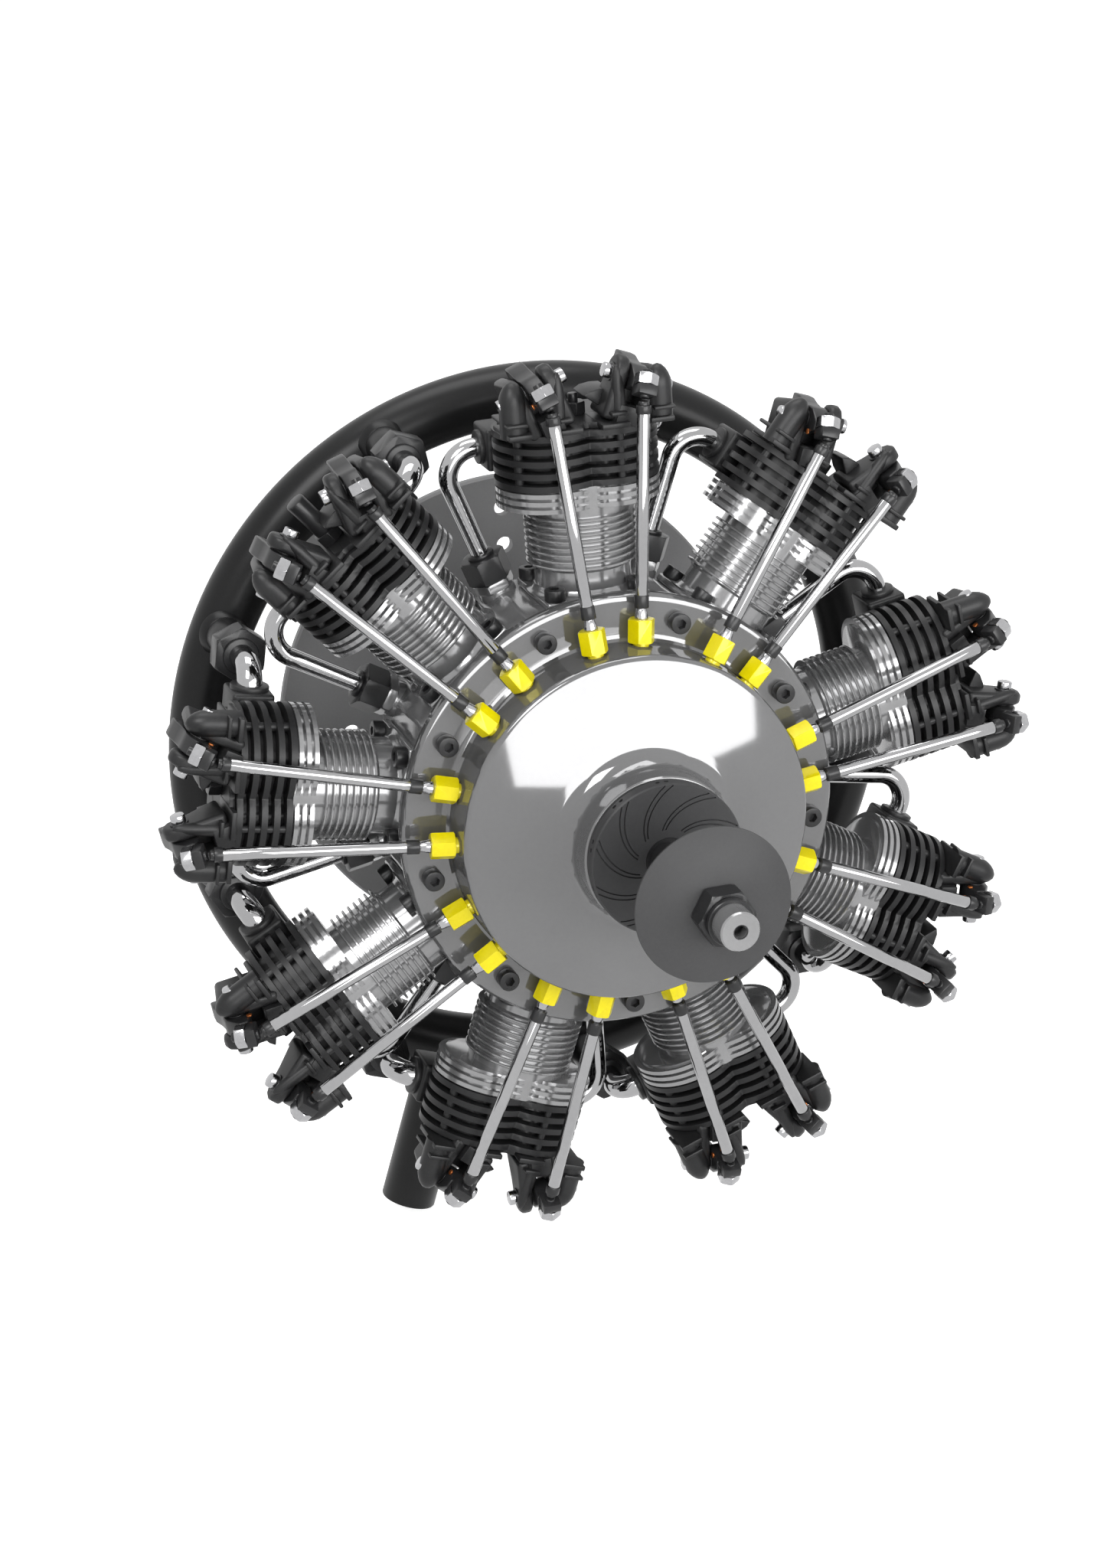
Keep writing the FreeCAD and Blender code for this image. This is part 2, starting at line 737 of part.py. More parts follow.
def front_cover():
    """Flange, tappet wall, shallow cone and flared neck, with the front bearing's seat in the neck."""
    inner = tappet_wall_radius - tappet_wall_thickness
    pocket_front = wall_front + cover_front_wall
    seat_front = neck_front + seal_lip
    seat_rear = seat_front + front_bearing_width
    shaft = journal_radius + seal_clearance
    flare = neck_flare_radius
    points = [(cover_flange_radius, case_front), (cover_flange_radius, flange_front),
              (tappet_wall_radius, flange_front), (tappet_wall_radius, wall_front),
              (neck_radius + flare, cone_front + flare * flare_rear_share),
              (neck_radius, cone_front - flare * flare_front_share),
              (neck_radius, neck_front), (shaft, neck_front), (shaft, seat_front),
              (front_bearing_outer_radius, seat_front), (front_bearing_outer_radius, seat_rear),
              (shaft, seat_rear), (shaft, pocket_front), (inner, pocket_front), (inner, case_front)]
    return revolved_y(points).cut(at_each_cylinder([guide_hole(-1), guide_hole(1)]))


def rear_housing():
    """Induction drum with its flange and four legs to the mounting plate, one casting."""
    chamber_radius = drum_radius - drum_chamber_wall
    flange_rear = case_rear + rear_flange_thickness
    points = [(chamber_radius, case_rear), (rear_flange_radius, case_rear), (rear_flange_radius, flange_rear),
              (drum_radius, flange_rear + drum_root_length), (drum_radius, drum_rear - drum_bevel),
              (drum_radius - drum_bevel, drum_rear),
              (carb_bore_radius, drum_rear), (carb_bore_radius, drum_rear - drum_wall),
              (chamber_radius, drum_rear - drum_wall)]
    drum = revolved_y(points)
    legs = []
    for i in range(leg_count):
        ends = [(leg_radius + leg_foot_flare, drum_rear), (leg_radius, plate_front)]
        rings = [flat_outline(pipe_sides, r, Vector(0, y, leg_circle_radius), Y) for r, y in ends]
        legs.append(turned(Part.makeLoft(rings, True, True), 45 + 360.0 * i / leg_count))
    return drum.fuse(legs)


def mounting_plate():
    plate = along_y(plate_radius, plate_front, 0).cut(along_y(plate_air_hole_radius, plate_front, 0))
    holes = []
    for circle in (outer_bolt_circle_radius, inner_bolt_circle_radius):
        hole = along_y(plate_bolt_hole_radius, plate_front, 0, 0, circle)
        holes += [turned(hole, 360.0 * i / plate_bolt_count) for i in range(plate_bolt_count)]
    return plate.cut(holes)


def socket_screw(base, direction):
    return round_detail(screw_head_radius, base, direction, screw_head_height)


def cover_screws():
    base = Vector(0, flange_front, cover_screw_circle)
    return at_each_cylinder([socket_screw(base, -Y)], pitch_angle / 2)


def cylinder_screws():
    s = base_screw_spacing
    z = pad_distance + base_flange_thickness
    screws = [socket_screw(Vector(sx * s, cylinder_plane + sy * s, z), Z) for sx in (-1, 1) for sy in (-1, 1)]
    return at_each_cylinder(screws)


def glow_plugs():
    """Short plugs in every head, and the one tall plug with its lead cap."""
    plugs = []
    seat = head_top + deck_thickness
    for k in range(cylinder_count):
        foot = Vector(0, cylinder_plane, seat - plug_seat_depth)
        body = round_detail(plug_body_radius, foot, Z, plug_seat_depth)
        nut = hexagon(plug_hex_flats, plug_hex_height, Vector(0, cylinder_plane, seat), Z)
        tall = k == tall_plug_cylinder
        tip = Vector(0, cylinder_plane, seat + plug_hex_height)
        cap = round_detail(plug_body_radius if tall else plug_tip_radius, tip, Z,
                           tall_plug_height if tall else plug_tip_height)
        plugs.append(turned(body.fuse([nut, cap]), k * pitch_angle))
    return plugs


# Crank group


def crankshaft():
    main_end = case_front + bulkhead_thickness
    web_front = main_end + web_to_case_gap
    web_rear = web_front + web_thickness
    shoulder = journal_radius + shoulder_width
    shaft = revolved_y([(0, web_rear), (shoulder, web_rear), (shoulder, main_end),
                        (main_journal_radius, main_end), (main_journal_radius, case_front),
                        (journal_radius, case_front), (journal_radius, washer_front),
                        (shaft_end_radius, washer_front), (shaft_end_radius, shaft_tip + tip_chamfer),
                        (shaft_end_radius - tip_chamfer, shaft_tip), (0, shaft_tip)])
    web = along_y(web_radius, web_front, web_rear)
    weight = Part.makeCylinder(counterweight_radius, web_thickness, Vector(0, web_front, 0), Y,
                               2 * counterweight_half_angle)
    weight.rotate(Vector(0, 0, 0), Y, 90 - counterweight_half_angle)
    weight = centred_below(weight)
    shaft = shaft.fuse([web, weight])
    pinion = gear_outline(crank_gear_teeth).extrude(Y * gear_width)
    pinion.translate(Vector(0, case_front - gear_to_case_gap - gear_width, 0))
    shaft = shaft.fuse(pinion)
    hole = along_y(shaft_centre_hole_radius, shaft_tip, shaft_tip + shaft_centre_hole_depth)
    return shaft.cut(hole)


def centred_below(sector):
    """Turn a sector about the crankshaft until its middle points straight down."""
    centre = sector.CenterOfMass
    angle = math.degrees(math.atan2(centre.x, centre.z))
    return turned(sector, 180 - angle)


def drive_washer():
    bevel = drive_washer_bevel
    edge = drive_washer_edge
    radius = drive_washer_radius
    return revolved_y([(journal_radius, washer_rear), (radius - bevel, washer_rear),
                       (radius, washer_rear - bevel), (radius, washer_front + edge),
                       (radius - edge, washer_front), (journal_radius, washer_front)])


def prop_washer():
    """Domed washer that clamps the propeller hub; the dome is a circular arc in a few cones."""
    rim = dome_rear - dome_rim_thickness
    flat = prop_nut_flats / 2 + nut_flat_margin
    points = [(shaft_end_radius, dome_rear), (dome_radius, dome_rear)]
    curve = (dome_height ** 2 + (dome_radius - flat) ** 2) / (2 * dome_height)
    for i in range(dome_steps + 1):
        radius = dome_radius + (flat - dome_radius) * i / dome_steps
        height = math.sqrt(curve ** 2 - (radius - flat) ** 2) - curve + dome_height
        points.append((radius, rim - height))
    points.append((shaft_end_radius, dome_front))
    return revolved_y(points)


def prop_nut():
    nut = hexagon(prop_nut_flats, prop_nut_height, Vector(0, nut_front, 0), Y, 0, Z)
    nut = nut.cut(along_y(shaft_end_radius, nut_front, dome_front))
    ring = along_y(lock_ring_radius, ring_front, nut_front)
    return [nut, ring.cut(along_y(shaft_end_radius, ring_front, nut_front))]


def bearing(inner, outer, y_from, y_to):
    """A shielded ball bearing as one closed ring."""
    return along_y(outer, y_from, y_to).cut(along_y(inner + running_clearance, y_from, y_to))


def main_bearings():
    front = neck_front + seal_lip
    main_rear = case_front + bulkhead_thickness
    return [bearing(journal_radius, front_bearing_outer_radius, front, front + front_bearing_width),
            bearing(main_journal_radius, main_bearing_outer_radius, case_front, main_rear)]


# Cam gear


def track_plane(side):
    start, direction, foot = pushrod_line(side)
    return (start - direction * tappet_foot_length(side)).y


def cam_ring():
    front = track_plane(-1) - cam_track_width / 2 - cam_front_margin
    rear = track_plane(1) + cam_track_width / 2
    ring = along_y(cam_base_radius, front, rear)
    lobes = []
    for side, phase in ((-1, first_lobe_angle), (1, first_lobe_angle + exhaust_cam_phase)):
        plane = track_plane(side)
        centre = cam_base_radius + cam_lobe_height - cam_lobe_nose_radius
        half = cam_track_width / 2
        lobe = along_y(cam_lobe_nose_radius, plane - half, plane + half, 0, centre)
        lobes += [turned(lobe, phase + 360.0 * i / cam_lobe_count) for i in range(cam_lobe_count)]
    ring = ring.fuse(lobes)
    teeth = gear_outline(cam_gear_teeth, inside=True).extrude(Y * (rear - front))
    teeth.translate(Vector(0, front, 0))
    ring = ring.cut(teeth)
    web_front = front - cam_web_thickness
    hub_rear = front + cam_hub_length
    web = along_y(gear_module * cam_gear_teeth / 2 + cam_web_margin, web_front, front)
    hub = along_y(cam_hub_radius, web_front, hub_rear)
    bore = along_y(journal_radius + running_clearance, web_front, hub_rear)
    return ring.fuse([web, hub]).cut(bore)


def cam_idler():
    z = gear_module * (crank_gear_teeth + idler_gear_teeth) / 2
    half_tooth = 180.0 / idler_gear_teeth
    gear_rear = case_front - gear_to_case_gap
    gear = gear_outline(idler_gear_teeth, phase=180.0 + half_tooth).extrude(Y * gear_width)
    gear.translate(Vector(0, gear_rear - gear_width, z))
    pinion_front = track_plane(-1) - cam_track_width / 2 + cam_front_margin
    pinion = gear_outline(idler_pinion_teeth).extrude(Y * (gear_rear - gear_width - pinion_front))
    pinion.translate(Vector(0, pinion_front, z))
    bore = along_y(idler_stud_radius + running_clearance, pinion_front - 1, case_front, 0, z)
    return gear.fuse(pinion).cut(bore)


# Pistons and rods at the rest pose, cylinder 1 at the top of its stroke


def wrist_pin_distance(k):
    """Distance of a piston's pin from the crankshaft axis, along its own cylinder."""
    a = math.radians(k * pitch_angle)
    kx, kz = knuckle_circle * math.sin(a), crank_throw + knuckle_circle * math.cos(a)
    along = kx * math.sin(a) + kz * math.cos(a)
    off = kx * math.cos(a) - kz * math.sin(a)
    return along + math.sqrt((master_rod_length - knuckle_circle) ** 2 - off ** 2)


def piston(k):
    """Piston and wrist pin of one cylinder."""
    z = wrist_pin_distance(k)
    radius = bore_radius - piston_clearance
    bottom = z + pin_below_crown - piston_height
    hollow_length = piston_height - crown_thickness
    hollow = prism(fin_sides, radius - skirt_thickness, Vector(0, cylinder_plane, bottom), Z, hollow_length)
    pin_start = Vector(0, cylinder_plane - radius + 1, z)
    pin = round_detail(wrist_pin_radius, pin_start, Y, 2 * radius - 2)
    body = prism(fin_sides, radius, Vector(0, cylinder_plane, bottom), Z, piston_height)
    return [turned(s, k * pitch_angle) for s in (body.cut([hollow, pin]), pin)]


def rod(start, end, width, lower_bore, upper_bore, side):
    """A flat rod between two eyes; start and end are (x, z), and side lies across the piston."""
    half = rod_thickness / 2
    a = Vector(start[0], cylinder_plane - half, start[1])
    b = Vector(end[0], cylinder_plane - half, end[1])
    across = Y.cross((b - a).normalize()) * (width / 2)
    corners = [a - across, b - across, b + across, a + across]
    bar = Part.Face(Part.makePolygon(corners + corners[:1])).extrude(Y * rod_thickness)
    eyes = [round_detail(rod_eye_radius, p, Y, rod_thickness) for p in (a, b)]
    bores = [round_detail(lower_bore, a, Y, rod_thickness),
             round_detail(upper_bore, b, Y, rod_thickness, side)]
    return bar.fuse(eyes).cut(bores)


def pistons_and_rods():
    """Master rod on the crankpin, eight link rods on their knuckle pins, and nine pistons."""
    solids = []
    half = rod_thickness / 2 + master_flange_thickness
    front = Vector(0, cylinder_plane - half, 0)
    front_gap = cylinder_plane - rod_thickness / 2
    rear_gap = cylinder_plane + rod_thickness / 2
    hub = [along_y(master_flange_radius, cylinder_plane - half, front_gap, 0, crank_throw),
           along_y(master_flange_radius, rear_gap, cylinder_plane + half, 0, crank_throw),
           along_y(master_hub_radius, cylinder_plane - half, cylinder_plane + half, 0, crank_throw)]
    blade_start = (0, crank_throw + master_hub_radius - blade_root_overlap)
    blade_end = (0, wrist_pin_distance(0))
    width = master_blade_width
    blade = rod(blade_start, blade_end, width, blade_root_overlap, wrist_pin_radius, Vector(1, 0, 0))
    master = blade.fuse(hub)
    holes = [along_y(crankpin_radius, cylinder_plane - half, cylinder_plane + half, 0, crank_throw)]
    for k in range(1, cylinder_count):
        a = math.radians(k * pitch_angle)
        knuckle = (knuckle_circle * math.sin(a), crank_throw + knuckle_circle * math.cos(a))
        wrist = (wrist_pin_distance(k) * math.sin(a), wrist_pin_distance(k) * math.cos(a))
        pin = round_detail(knuckle_pin_radius, front + Vector(knuckle[0], 0, knuckle[1]), Y, 2 * half)
        holes.append(pin)
        across = Vector(math.cos(a), 0, -math.sin(a))
        solids += [pin, rod(knuckle, wrist, link_blade_width, knuckle_pin_radius, wrist_pin_radius, across)]
    solids.append(master.cut(holes))
    pin_front = case_front + bulkhead_thickness + web_to_case_gap + web_thickness + seat_gap
    pin_rear = cylinder_plane + half + crankpin_overhang
    solids.append(along_y(crankpin_radius, pin_front, pin_rear, 0, crank_throw))
    for k in range(cylinder_count):
        solids += piston(k)
    return solids


def carburettor():
    """Flange, throttle body with its barrel and arm, float bowl and the inlet spigot that faces aft."""
    front = drum_rear
    w = carb_flange_half_width
    h = carb_half_width
    flange_height = h - carb_flange_shorter
    body_rear = front + carb_length
    barrel_y = front + carb_length * throttle_barrel_share
    barrel_end = h + throttle_barrel_overhang
    arm_half = throttle_arm_half_width
    flange = box(-w, w, front, front + carb_flange_thickness, -flange_height, flange_height)
    body = box(-h, h, front + carb_flange_thickness, body_rear, -h, h)
    spigot = along_y(carb_spigot_radius, body_rear, body_rear + carb_spigot_length)
    barrel_start = Vector(-barrel_end, barrel_y, 0)
    barrel = round_detail(throttle_barrel_radius, barrel_start, Vector(1, 0, 0), 2 * barrel_end, Y)
    arm = box(barrel_end, barrel_end + throttle_arm_thickness, barrel_y - arm_half, barrel_y + arm_half,
              -arm_half, throttle_arm_length)
    bowl_foot = Vector(0, barrel_y, -h - float_bowl_depth)
    bowl = prism(fin_sides, float_bowl_radius, bowl_foot, Z, float_bowl_depth)
    bore = along_y(carb_bore_radius, front, body_rear + carb_spigot_length)
    return flange.fuse([body, spigot, barrel, arm, bowl]).cut(bore)


def idler_stud():
    z = gear_module * (crank_gear_teeth + idler_gear_teeth) / 2
    front = track_plane(-1) - cam_track_width / 2 + cam_front_margin
    return along_y(idler_stud_radius, front, case_front + stud_root_depth, 0, z)


def export(name, solids):
    shape = solids[0] if len(solids) == 1 else Part.makeCompound(solids)
    shape.exportStep("parts/" + name + ".step")


def main():
    os.makedirs("parts", exist_ok=True)
    export("mounting_plate", [mounting_plate()])
    export("rear_housing", [rear_housing()])
    export("crankcase", [crankcase()])
    export("front_cover", [front_cover()])
    export("cylinder_barrels", at_each_cylinder([cylinder_barrel()]))
    export("cylinder_heads", at_each_cylinder([cylinder_head()]))
    export("rocker_pins", at_each_cylinder([rocker_pin(-1), rocker_pin(1)]))
    export("valve_springs", at_each_cylinder([valve_spring(-1), valve_spring(1)]))
    export("tappet_guides", at_each_cylinder([tappet_guide(-1), tappet_guide(1)]))
    export("intake_tubes", at_each_cylinder([intake_tube()]))
    export("exhaust_tubes", at_each_cylinder([exhaust_tube()]))
    export("pipe_nuts", at_each_cylinder([intake_nut(), exhaust_nut()]))
    export("collector_ring", [collector_ring()])
    export("socket_screws", cover_screws() + cylinder_screws())
    export("glow_plugs", glow_plugs())
    export("carburettor", [carburettor()])
    export("main_bearings", main_bearings())
    export("pistons_and_rods", pistons_and_rods())
    export("crankshaft", [crankshaft()])
    export("drive_washer", [drive_washer()])
    export("prop_washer", [prop_washer()])
    export("prop_nut", prop_nut())
    export("cam_ring", [cam_ring()])
    export("cam_idler", [cam_idler()])
    for k in range(cylinder_count):
        for side, valve in ((-1, "intake"), (1, "exhaust")):
            number = str(k + 1)
            arm = [turned(s, k * pitch_angle) for s in rocker(side)]
            export("rocker_" + valve + "_" + number, arm)
            export("pushrod_" + valve + "_" + number, [turned(pushrod(side), k * pitch_angle)])


main()
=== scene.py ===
import math
import bpy
from mathutils import Matrix, Vector


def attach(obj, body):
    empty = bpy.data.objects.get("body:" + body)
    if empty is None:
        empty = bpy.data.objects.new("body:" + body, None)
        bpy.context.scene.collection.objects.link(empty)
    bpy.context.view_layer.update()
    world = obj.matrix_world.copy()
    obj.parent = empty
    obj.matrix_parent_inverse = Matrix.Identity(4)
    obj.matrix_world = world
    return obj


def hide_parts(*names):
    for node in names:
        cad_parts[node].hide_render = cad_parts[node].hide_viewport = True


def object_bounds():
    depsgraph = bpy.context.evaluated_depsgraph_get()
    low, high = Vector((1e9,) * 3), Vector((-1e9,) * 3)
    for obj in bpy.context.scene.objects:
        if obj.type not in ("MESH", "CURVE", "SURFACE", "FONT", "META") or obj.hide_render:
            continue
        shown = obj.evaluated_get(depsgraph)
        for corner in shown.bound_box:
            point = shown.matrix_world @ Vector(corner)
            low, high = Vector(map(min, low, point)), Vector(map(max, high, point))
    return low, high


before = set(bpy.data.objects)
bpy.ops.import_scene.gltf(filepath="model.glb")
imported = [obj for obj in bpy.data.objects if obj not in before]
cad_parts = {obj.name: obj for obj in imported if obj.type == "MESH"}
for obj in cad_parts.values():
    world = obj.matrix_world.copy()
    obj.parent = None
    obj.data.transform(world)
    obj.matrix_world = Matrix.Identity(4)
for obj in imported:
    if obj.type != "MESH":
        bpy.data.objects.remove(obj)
cad_low, cad_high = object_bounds()

# Sizes are in millimetres, in the engine's own frame: shaft along Y, propeller towards -Y, cylinder 1 up
mm = 0.001
cylinder_count = 9
pitch_angle = 360 / cylinder_count
plate_front = -4
drum_rear = -52
case_rear = -72
cylinder_plane = -98
case_front = -121
flange_front = -126
wall_front = -144.5
neck_front = -168
washer_rear = -168.5
washer_front = -174
dome_rear = -216
dome_front = -223
nut_front = -231
lock_front = -233.4
shaft_tip = -241.4
port_plane = -80
pivot_plane = -111.4
collector_plane = -28
exhaust_nut_plane = -60

# Radii about the shaft
cover_screw_circle = 68
washer_radius = 26
shaft_radius = 6.2
bright_end_radius = 6.3

# Distances from the shaft along a cylinder's own line, and offsets across it
guide_distance = 64.2
pad_distance = 70
barrel_flange_thickness = 3
port_distance = 119.8
head_deck = 131.5
pivot_distance = 144.05
guide_offset = 9
lobe_offset = 9.2
base_screw_offset = 14.5
pivot_offset = 18.05
port_reach = 24
exhaust_offset = 34.5

# Rocker, in its tower's own frame: X across, Y rearward, Z up from the pin
rocker_across = -0.9
adjuster_setback = 11.6
adjuster_rise = 1.5
spring_setback = 13.4
slot_floor = -9

X = Vector((1, 0, 0))
Y = Vector((0, 1, 0))
Z = Vector((0, 0, 1))


# Modelling by hand: small steps that every piece uses


def only(obj):
    if bpy.context.object and bpy.context.object.mode != "OBJECT":
        bpy.ops.object.mode_set(mode="OBJECT")
    bpy.ops.object.select_all(action="DESELECT")
    if obj:
        obj.select_set(True)
        bpy.context.view_layer.objects.active = obj


def editing(obj, kind="VERT"):
    only(obj)
    bpy.ops.object.mode_set(mode="EDIT")
    bpy.ops.mesh.select_mode(type=kind)
    bpy.ops.mesh.select_all(action="SELECT")


def done_editing():
    bpy.ops.object.mode_set(mode="OBJECT")


def bake_place(obj, matrix=None):
    """The object's place goes into its mesh, and the object itself to the origin."""
    if matrix is not None:
        obj.matrix_world = matrix @ obj.matrix_world
    only(obj)
    bpy.ops.object.transform_apply(location=True, rotation=True, scale=True)
    return obj


def clean(obj):
    editing(obj)
    bpy.ops.mesh.remove_doubles(threshold=0.002 * mm)
    bpy.ops.mesh.normals_make_consistent(inside=False)
    done_editing()
    return obj


def round_edges(obj, width, segments=2, angle=35):
    only(obj)
    bevel = obj.modifiers.new("soft_edges", "BEVEL")
    bevel.width = width * mm
    bevel.segments = segments
    bevel.limit_method = "ANGLE"
    bevel.angle_limit = math.radians(angle)
    bevel.harden_normals = False
    bpy.ops.object.modifier_apply(modifier=bevel.name)
    return obj


def smooth(obj, angle=32):
    only(obj)
    bpy.ops.object.shade_smooth_by_angle(angle=math.radians(angle))
    return obj


def cut(obj, tool, how="DIFFERENCE"):
    only(obj)
    step = obj.modifiers.new("cut", "BOOLEAN")
    step.operation = how
    step.solver = "EXACT"
    step.object = tool
    bpy.ops.object.modifier_apply(modifier=step.name)
    bpy.data.objects.remove(tool)
    return obj


def join(objects):
    only(objects[0])
    for o in objects:
        o.select_set(True)
    bpy.ops.object.join()
    return bpy.context.object


def axes_matrix(origin, direction, side=X):
    """A frame whose Z runs along direction and whose X lies as near to side as it can."""
    z = Vector(direction).normalized()
    if abs(z.dot(side)) > 0.99:
        side = Z if abs(z.z) < 0.9 else Y
    x = (side - z * z.dot(side)).normalized()
    y = z.cross(x)
    turn = Matrix((x, y, z)).transposed().to_4x4()
    return Matrix.Translation(Vector(origin) * mm) @ turn


def bar(radius, start, end, sides=32, edge=0.25, side=X, tip_radius=None):
    """A round bar between two points; with tip_radius it tapers."""
    start, end = Vector(start), Vector(end)
    length = (end - start).length * mm
    only(None)
    tip = radius if tip_radius is None else tip_radius
    bpy.ops.mesh.primitive_cone_add(vertices=sides, radius1=radius * mm, radius2=tip * mm, depth=length,
                                    location=(0, 0, length / 2))
    obj = bpy.context.object
    if edge:
        bake_place(obj)
        round_edges(obj, edge)
    bake_place(obj, axes_matrix(start, end - start, side))
    return smooth(obj)


def draw_out(step):
    bpy.ops.mesh.extrude_region_move(TRANSFORM_OT_translate={"value": step})


def trace(points):
    """One vertex, extruded from point to point, left in edit mode with all of it selected."""
    points = [Vector(p) for p in points]
    only(None)
    bpy.ops.mesh.primitive_plane_add(size=mm, location=points[0] * mm)
    editing(bpy.context.object)
    bpy.ops.mesh.merge(type="CENTER")
    for a, b in zip(points, points[1:]):
        draw_out((b - a) * mm)
    bpy.ops.mesh.select_all(action="SELECT")
    return bpy.context.object


def spun(points, centre, axis, steps, angle):
    obj = trace(points)
    bpy.ops.mesh.spin(steps=steps, angle=math.tau, center=centre, axis=axis)
    done_editing()
    return smooth(bake_place(clean(obj)), angle)


def turned(profile, steps=128, angle=28):
    """A turned piece about the shaft from (radius, y) corners; a corner on the axis closes it."""
    return spun([(r, y, 0) for r, y in profile], (0, 0, 0), Y, steps, angle)


def upright(x, y, profile, steps=32, angle=45):
    """A piece turned about an upright line through (x, y), from (radius, height) corners."""
    return spun([(x + r, y, z) for r, z in profile], (x * mm, y * mm, 0), Z, steps, angle)


def plate(outline, thickness):
    """A plate from (rearward, up) corners, standing on the plane X = 0 and thickened towards +X."""
    obj = trace([(0, b, c) for b, c in outline])
    bpy.ops.mesh.edge_face_add()
    draw_out((thickness * mm, 0, 0))
    done_editing()
    return bake_place(clean(obj))


def block(low, high, edge=0.4, segments=2):
    low, high = Vector(low), Vector(high)
    only(None)
    bpy.ops.mesh.primitive_cube_add(size=mm, location=(low + high) / 2 * mm, scale=high - low)
    obj = bake_place(bpy.context.object)
    return smooth(round_edges(obj, edge, segments))


def cylinder(sides, radius, height, middle=(0, 0, 0)):
    """A plain upright cylinder, or a prism with few sides."""
    only(None)
    bpy.ops.mesh.primitive_cylinder_add(vertices=sides, radius=radius * mm, depth=height * mm,
                                        location=[c * mm for c in middle])
    return bake_place(bpy.context.object)


def hexagon(flats, height, base, direction, side=X, bore=0):
    """A nut with its corners turned down at both ends."""
    corner = flats / math.sqrt(3)
    middle = (0, 0, height / 2)
    nut = cylinder(6, corner, height, middle)
    barrel = round_edges(cylinder(48, corner * 1.002, height, middle), (corner - flats / 2) * 0.6, 1, 60)
    cut(nut, barrel, "INTERSECT")
    if bore:
        cut(nut, cylinder(32, bore, height * 3))
    round_edges(nut, 0.12, 1, 25)
    bake_place(nut, axes_matrix(base, direction, side))
    return smooth(nut, 24)


def bent_pipe(radius, start, corner, end, bend_radius, sides=32, steps=20):
    """A ring of vertices drawn out along one run, spun round the bend, and drawn out along the next."""
    start, corner, end = Vector(start), Vector(corner), Vector(end)
    into, out = (corner - start).normalized(), (end - corner).normalized()
    turn = into.angle(out)
    square = into.cross(out).normalized()
    reach = bend_radius * math.tan(turn / 2)
    first, last = corner - into * reach, corner + out * reach
    centre = first + square.cross(into) * bend_radius
    only(None)
    bpy.ops.mesh.primitive_circle_add(vertices=sides, radius=radius * mm, fill_type="NGON")
    obj = bake_place(bpy.context.object, axes_matrix(start, into, square))
    editing(obj)
    draw_out((first - start) * mm)
    bpy.ops.mesh.spin(steps=steps, angle=turn, center=centre * mm, axis=-square)
    draw_out((end - last) * mm)
    done_editing()
    return smooth(clean(obj), 40)


def station(k):
    """The turn about the shaft from cylinder 1 to cylinder k + 1."""
    return Matrix.Rotation(math.radians(k * pitch_angle), 4, "Y")


def ray(degrees):
    """The direction outwards from the shaft, counted from cylinder 1 towards +X."""
    a = math.radians(degrees)
    return Vector((math.sin(a), 0, math.cos(a)))


def copy_of(obj, matrix):
    """A copy with a mesh of its own, moved by matrix and turned right side out if that mirrors it."""
    twin = obj.copy()
    twin.data = obj.data.copy()
    bpy.context.scene.collection.objects.link(twin)
    bake_place(twin, matrix)
    if matrix.determinant() < 0:
        editing(twin)
        bpy.ops.mesh.flip_normals()
        done_editing()
    return twin


def paint(obj, material):
    obj.data.materials.clear()
    obj.data.materials.append(material)
    return obj


def place(obj, name, body, nodes, slot):
    """Names a finished piece, and says what it rides on and what it stands for; slot is not used."""
    obj.name = name
    obj.data.name = name
    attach(obj, body)
    if nodes:
        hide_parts(*nodes)
    return obj


def nine_times(objects):
    """Copies of one cylinder's pieces for all nine, in place of the pieces themselves."""
    copies = [copy_of(o, station(k)) for k in range(cylinder_count) for o in objects]
    for o in objects:
        bpy.data.objects.remove(o)
    return copies


def round_the_engine(objects, name, nodes, slot):
    return place(join(nine_times(objects)), name, "engine", nodes, slot)


# Materials


def add_node(tree, kind, place=(0, 0), **values):
    node = tree.nodes.new(kind)
    node.location = place
    for key, value in values.items():
        if key in node.inputs:
            node.inputs[key].default_value = value
        else:
            setattr(node, key, value)
    return node


def maths(tree, operation, place):
    return add_node(tree, "ShaderNodeMath", place, operation=operation)


def effect_group(name, inputs, outputs):
    tree = bpy.data.node_groups.new(name, "ShaderNodeTree")
    for label in inputs:
        kind = "NodeSocketVector" if label == "Position" else "NodeSocketFloat"
        tree.interface.new_socket(name=label, in_out="INPUT", socket_type=kind)
    for label in outputs:
        tree.interface.new_socket(name=label, in_out="OUTPUT", socket_type="NodeSocketFloat")
    start = add_node(tree, "NodeGroupInput", (-800, 0))
    end = add_node(tree, "NodeGroupOutput", (600, 0))
    return tree, start, end


